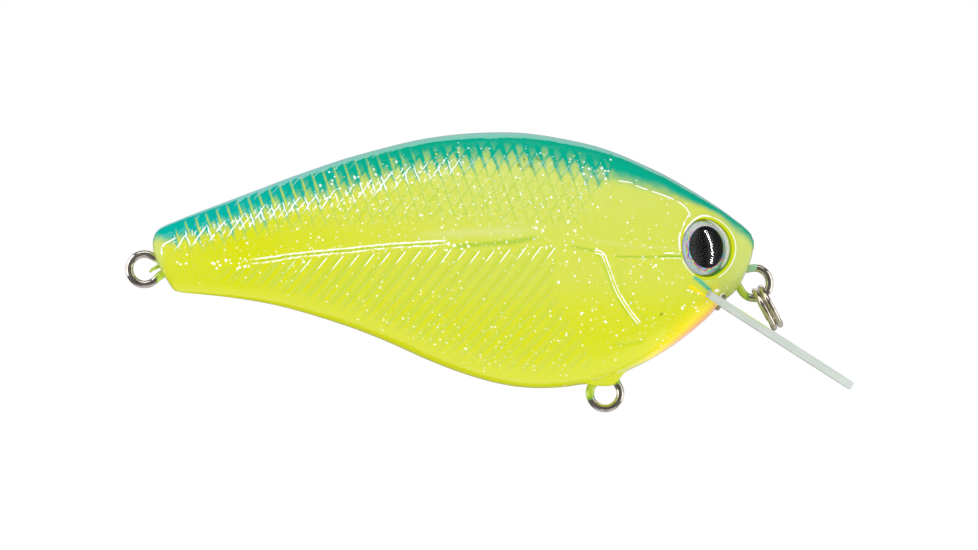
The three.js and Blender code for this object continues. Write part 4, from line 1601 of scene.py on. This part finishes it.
def lip_mesh():
    mirrored = [(along, -width, radius) for along, width, radius in LIP_OUTLINE[::-1]]
    outline = round_outline(LIP_OUTLINE + mirrored)
    count = len(outline)
    tangent = np.roll(outline, -1, axis=0) - np.roll(outline, 1, axis=0)
    tangent /= np.linalg.norm(tangent, axis=1)[:, None]
    inward = np.stack([tangent[:, 1], -tangent[:, 0]], 1)
    lower = [(LIP_EDGE, 0.0), (0.3 * LIP_EDGE, 0.3 * LIP_EDGE), (0, LIP_EDGE)]
    rings = [(inset, -LIP_T / 2 + lift) for inset, lift in lower]
    rings += [(inset, LIP_T / 2 - lift) for inset, lift in lower[::-1]]
    verts = np.vstack([
        np.column_stack([outline + inward * inset, np.full(count, height)])
        for inset, height in rings
    ])
    faces = []
    for k in range(len(rings) - 1):
        for i in range(count):
            a, b = k * count + i, k * count + (i + 1) % count
            faces.append((a + count, b + count, b, a))
    # bottom and top faces
    for start, faces_down in ((0, True), ((len(rings) - 1) * count, False)):
        rim = [Vector((*verts[start + i][:2], 0)) for i in range(count)]
        for triangle in geometry.tessellate_polygon([rim]):
            ids = [start + k for k in triangle]
            a, b, c = (verts[i] for i in ids)
            is_up = np.cross(b - a, c - a)[2] > 0
            faces.append(ids if is_up != faces_down else ids[::-1])
    return verts, faces


lip = new_object("lip_plate", *lip_mesh())
lip.data.set_sharp_from_angle(angle=math.radians(50))
lip.matrix_world = Matrix.Translation(Vector(LIP_ORIGIN * MM)) @ Matrix.Rotation(LIP_TILT, 4, "Y")
hand_over(lip, lip_board(), "diving_lip", "lip_board")

# pin: a stub of wire through the lip's root
lip_normal = np.array([math.sin(LIP_TILT), 0, math.cos(LIP_TILT)])
lip_along = np.array([math.cos(LIP_TILT), 0, -math.sin(LIP_TILT)])
pin_centre = LIP_ORIGIN - 8.7 * lip_along + 0.45 * lip_normal
pin_path = np.array([pin_centre + lip_normal * s for s in np.linspace(-1.2, 1.05, 12)])
pin = new_object("lip_pin", *sweep(pin_path, WIRE_R, 20))
pin_metal = grey_metal("pin_metal", tone=(176, 170, 142), rough=0.4, metallic=0.35)
hand_over(pin, pin_metal, "lip_retaining_pin", "steel_wire")

# ---------------------------------------------------------------- eyes
FOIL_PROFILE = [
    (0, -0.075), (FOIL_R - 0.05, -0.075), (FOIL_R, -0.045), (FOIL_R, 0.045),
    (FOIL_R - 0.05, 0.075), (PUPIL_R, 0.075), (1.2, 0.075), (0, 0.075),
]
DOME_BASE, DOME_RISE = 0.14, 0.83
DOME_PROFILE = [(0, 0.0), (FOIL_R - 0.06, 0.0), (FOIL_R, 0.05), (FOIL_R, DOME_BASE)]
for i in range(1, 41):
    angle = i / 40 * math.pi / 2
    radius = 0 if i == 40 else FOIL_R * math.cos(angle)
    DOME_PROFILE.append((radius, DOME_BASE + DOME_RISE * math.sin(angle)))

resin = eye_resin()
for side, label in ((1, "left"), (-1, "right")):
    # local +Y is the way the eye faces, local Z stays upward, local X runs to the nose
    normal = Vector((EYE_NORMAL[0], side * EYE_NORMAL[1], EYE_NORMAL[2]))
    centre = Vector((EYE_CENTRE[0], side * EYE_CENTRE[1], EYE_CENTRE[2]))
    upward = (Vector((0, 0, 1)) - normal * normal.z).normalized()
    noseward = normal.cross(upward) * side
    turn = Matrix((noseward, normal, upward)).transposed().to_4x4()
    for piece, profile, sides, sink, mat, node in (
        ("eye_disc", FOIL_PROFILE, 96, -0.9, eye_foil(label), "eye_foil"),
        ("eye_dome", DOME_PROFILE, 256, -0.78, resin, "eye_lens"),
    ):
        verts, faces = lathe(profile, sides)
        if side < 0:  # the right eye's frame is mirrored
            faces = [face[::-1] for face in faces]
        ob = new_object(f"{label}_{piece}", verts, faces)
        ob.data.set_sharp_from_angle(angle=math.radians(35))
        ob.matrix_world = Matrix.Translation((centre + normal * sink) * MM) @ turn
        hand_over(ob, mat, f"{label}_{node}", node)

# ---------------------------------------------------------------- hidden solids, kept as packed
BALLAST = ("front_ballast_slug", "rear_ballast_slug")
BALLS = ("knocker_ball", "rattle_ball_front", "rattle_ball_middle", "rattle_ball_rear")
for metal, names in (
    (grey_metal("ballast_grey", tone=(120, 118, 114), rough=0.45), BALLAST),
    (grey_metal("ball_steel", tone=(205, 205, 202), rough=0.12), BALLS),
):
    for name in names:
        materials = frame["nodes"][name].data.materials
        materials.clear()
        materials.append(metal)


# ---------------------------------------------------------------- studio (lengths in metres)
def build_floor():
    half, level = 1.5, CAD_BOX[0][2] - 0.045
    mesh = bpy.data.meshes.new("studio_floor")
    corners = [(a * half, b * half, level) for a, b in ((-1, -1), (1, -1), (1, 1), (-1, 1))]
    mesh.from_pydata(corners, [], [(0, 1, 2, 3)])
    floor = bpy.data.objects.new("studio_floor", mesh)
    bpy.context.scene.collection.objects.link(floor)
    mat, graph = material("floor_pale")
    graph.principled({
        "Base Color": graph.mix(graph.noise(4), (0.86, 0.86, 0.86, 1), (0.84, 0.84, 0.84, 1)),
        "Roughness": 1.0,
        "Specular IOR Level": 0.0,
        "Emission Color": (1, 1, 1, 1),
        "Emission Strength": 0.75,
    })
    mesh.materials.append(mat)
    # only the camera sees it
    floor.visible_glossy = False
    floor.visible_diffuse = False
    floor.visible_transmission = False
    floor.visible_shadow = False


def receivers(name, *words):
    """A collection of the meshes that have one of the words in their names."""
    group = bpy.data.collections.new(name)
    for ob in bpy.data.objects:
        if ob.type == "MESH" and any(word in ob.name for word in words):
            group.objects.link(ob)
    return group


def panel(name, lit, toward, width, tall, power, roll=0.0, diffuse=False):
    """An area light that faces the lure from a direction and lights one group of parts."""
    data = bpy.data.lights.new(name, "AREA")
    data.shape = "RECTANGLE"
    data.size, data.size_y = width, tall
    data.energy = power
    ob = bpy.data.objects.new(name, data)
    bpy.context.scene.collection.objects.link(ob)
    direction = Vector(toward).normalized()
    facing = direction.to_track_quat("Z", "Y").to_matrix().to_4x4()
    place = Matrix.Translation(direction * 0.6)
    ob.matrix_world = place @ facing @ Matrix.Rotation(roll, 4, "Z")
    ob.visible_camera = False
    ob.visible_diffuse = diffuse
    ob.visible_transmission = False
    ob.light_linking.receiver_collection = lit


build_floor()
painted = receivers("painted_receivers", "_body_half")
domes = receivers("dome_receivers", "_eye_dome")
wires = receivers("wire_receivers", "wire", "coil", "pin")
panel("key_softbox", painted, toward=(-0.45, -0.60, 0.66), width=0.30, tall=0.30,
      power=0.35, diffuse=True)
panel("right_strip", domes, toward=(0.968, -0.220, 0.135), width=0.026, tall=0.45,
      power=1.6, roll=0.14)
panel("left_strip", domes, toward=(-0.97, -0.22, 0.12), width=0.052, tall=0.40, power=1.3)
panel("wire_left", wires, toward=(-1.0, -0.08, 0.25), width=0.85, tall=0.80, power=4.6)
panel("wire_right", wires, toward=(1.0, -0.10, 0.12), width=0.70, tall=0.80, power=3.0)
panel("wire_top", wires, toward=(0.05, -0.42, 0.90), width=0.70, tall=0.30, power=1.2)
panel("wire_low", wires, toward=(0.25, -0.55, -0.80), width=0.60, tall=0.22, power=0.25)


def mirrored_world(x, y, z):
    """What shiny surfaces see in each direction."""
    # a white sweep behind that brightens upwards and ends overhead
    behind = y.ramp(0.0, 0.15)
    reach = y - x.max(0.0) * 0.92 - (x * -1.0).max(0.0) * 0.5
    backdrop = reach.ramp(0.56, 0.61)
    above_ground = z.ramp(-0.60, -0.02, out=(0.35, 1.0))
    rising = (z * 2.0).math("EXPONENT") * 0.36
    sweep_level = backdrop * (above_ground * rising)
    # a pale table below, and a dark room on the camera's side
    table = z.ramp(-0.82, -0.70, out=(0.7, 0.0)) * y.ramp(-0.45, -0.05, out=(0.25, 1.0))
    room = z.ramp(-0.4, 0.6, out=(0.006, 0.03))
    # a low band behind, on the nose's side
    low_band = (x.ramp(0.04, 0.22) * behind) * (
        z.ramp(-0.22, -0.04, out=(0.65, 0.0)) * z.ramp(-0.75, -0.6)
    )
    return room + table + low_band + sweep_level


def build_world():
    world = bpy.data.worlds.new("studio_world")
    bpy.context.scene.world = world
    world.use_nodes = True
    graph = Graph(world.node_tree)
    rays = graph.node("ShaderNodeLightPath", {})
    through, glossy, camera = (
        Value(graph, rays.outputs[f"Is {kind} Ray"])
        for kind in ("Transmission", "Glossy", "Camera")
    )
    x, y, z = graph.split(graph.coordinates("Generated"))
    glossy = glossy * (1.0 - through)
    diffuse = 1.0 + z * -0.05
    low_front = x.max(0.0) * (z * -1.0).max(0.0)
    diffuse = diffuse + low_front * 0.6
    # what the flat back of an eye dome mirrors out to the front right stays dim,
    # so that the pupil is dark
    dim = (x.ramp(0.0, 0.25) * y.ramp(-0.30, -0.10, out=(1.0, 0.0))) * (through * 0.92)
    diffuse = diffuse * (1.0 - dim)
    level = mirrored_world(x, y, z) * glossy + (1.0 - glossy) * diffuse
    background = graph.add("ShaderNodeBackground", {
        0: graph.mix(glossy, (1, 1, 1, 1), (1.0, 0.96, 1.10, 1)),
        1: level.max(camera),
    })
    graph.node("ShaderNodeOutputWorld", {0: background})


build_world()
scene = bpy.context.scene
scene.view_settings.view_transform = "Standard"
scene.view_settings.look = "None"

CAMERA_DISTANCE = 1.2
VIEW_WIDTH = 101.712 * MM  # seen at the lure's mid-plane
camera_data = bpy.data.cameras.new("camera")
camera = bpy.data.objects.new("camera", camera_data)
scene.collection.objects.link(camera)
camera.location = (-0.05 * MM, -CAMERA_DISTANCE, -0.31 * MM)
camera.rotation_euler = (math.pi / 2, 0, 0)
camera_data.sensor_width = 36
camera_data.lens = camera_data.sensor_width * CAMERA_DISTANCE / VIEW_WIDTH
camera_data.clip_start, camera_data.clip_end = 0.01, 20
scene.camera = camera
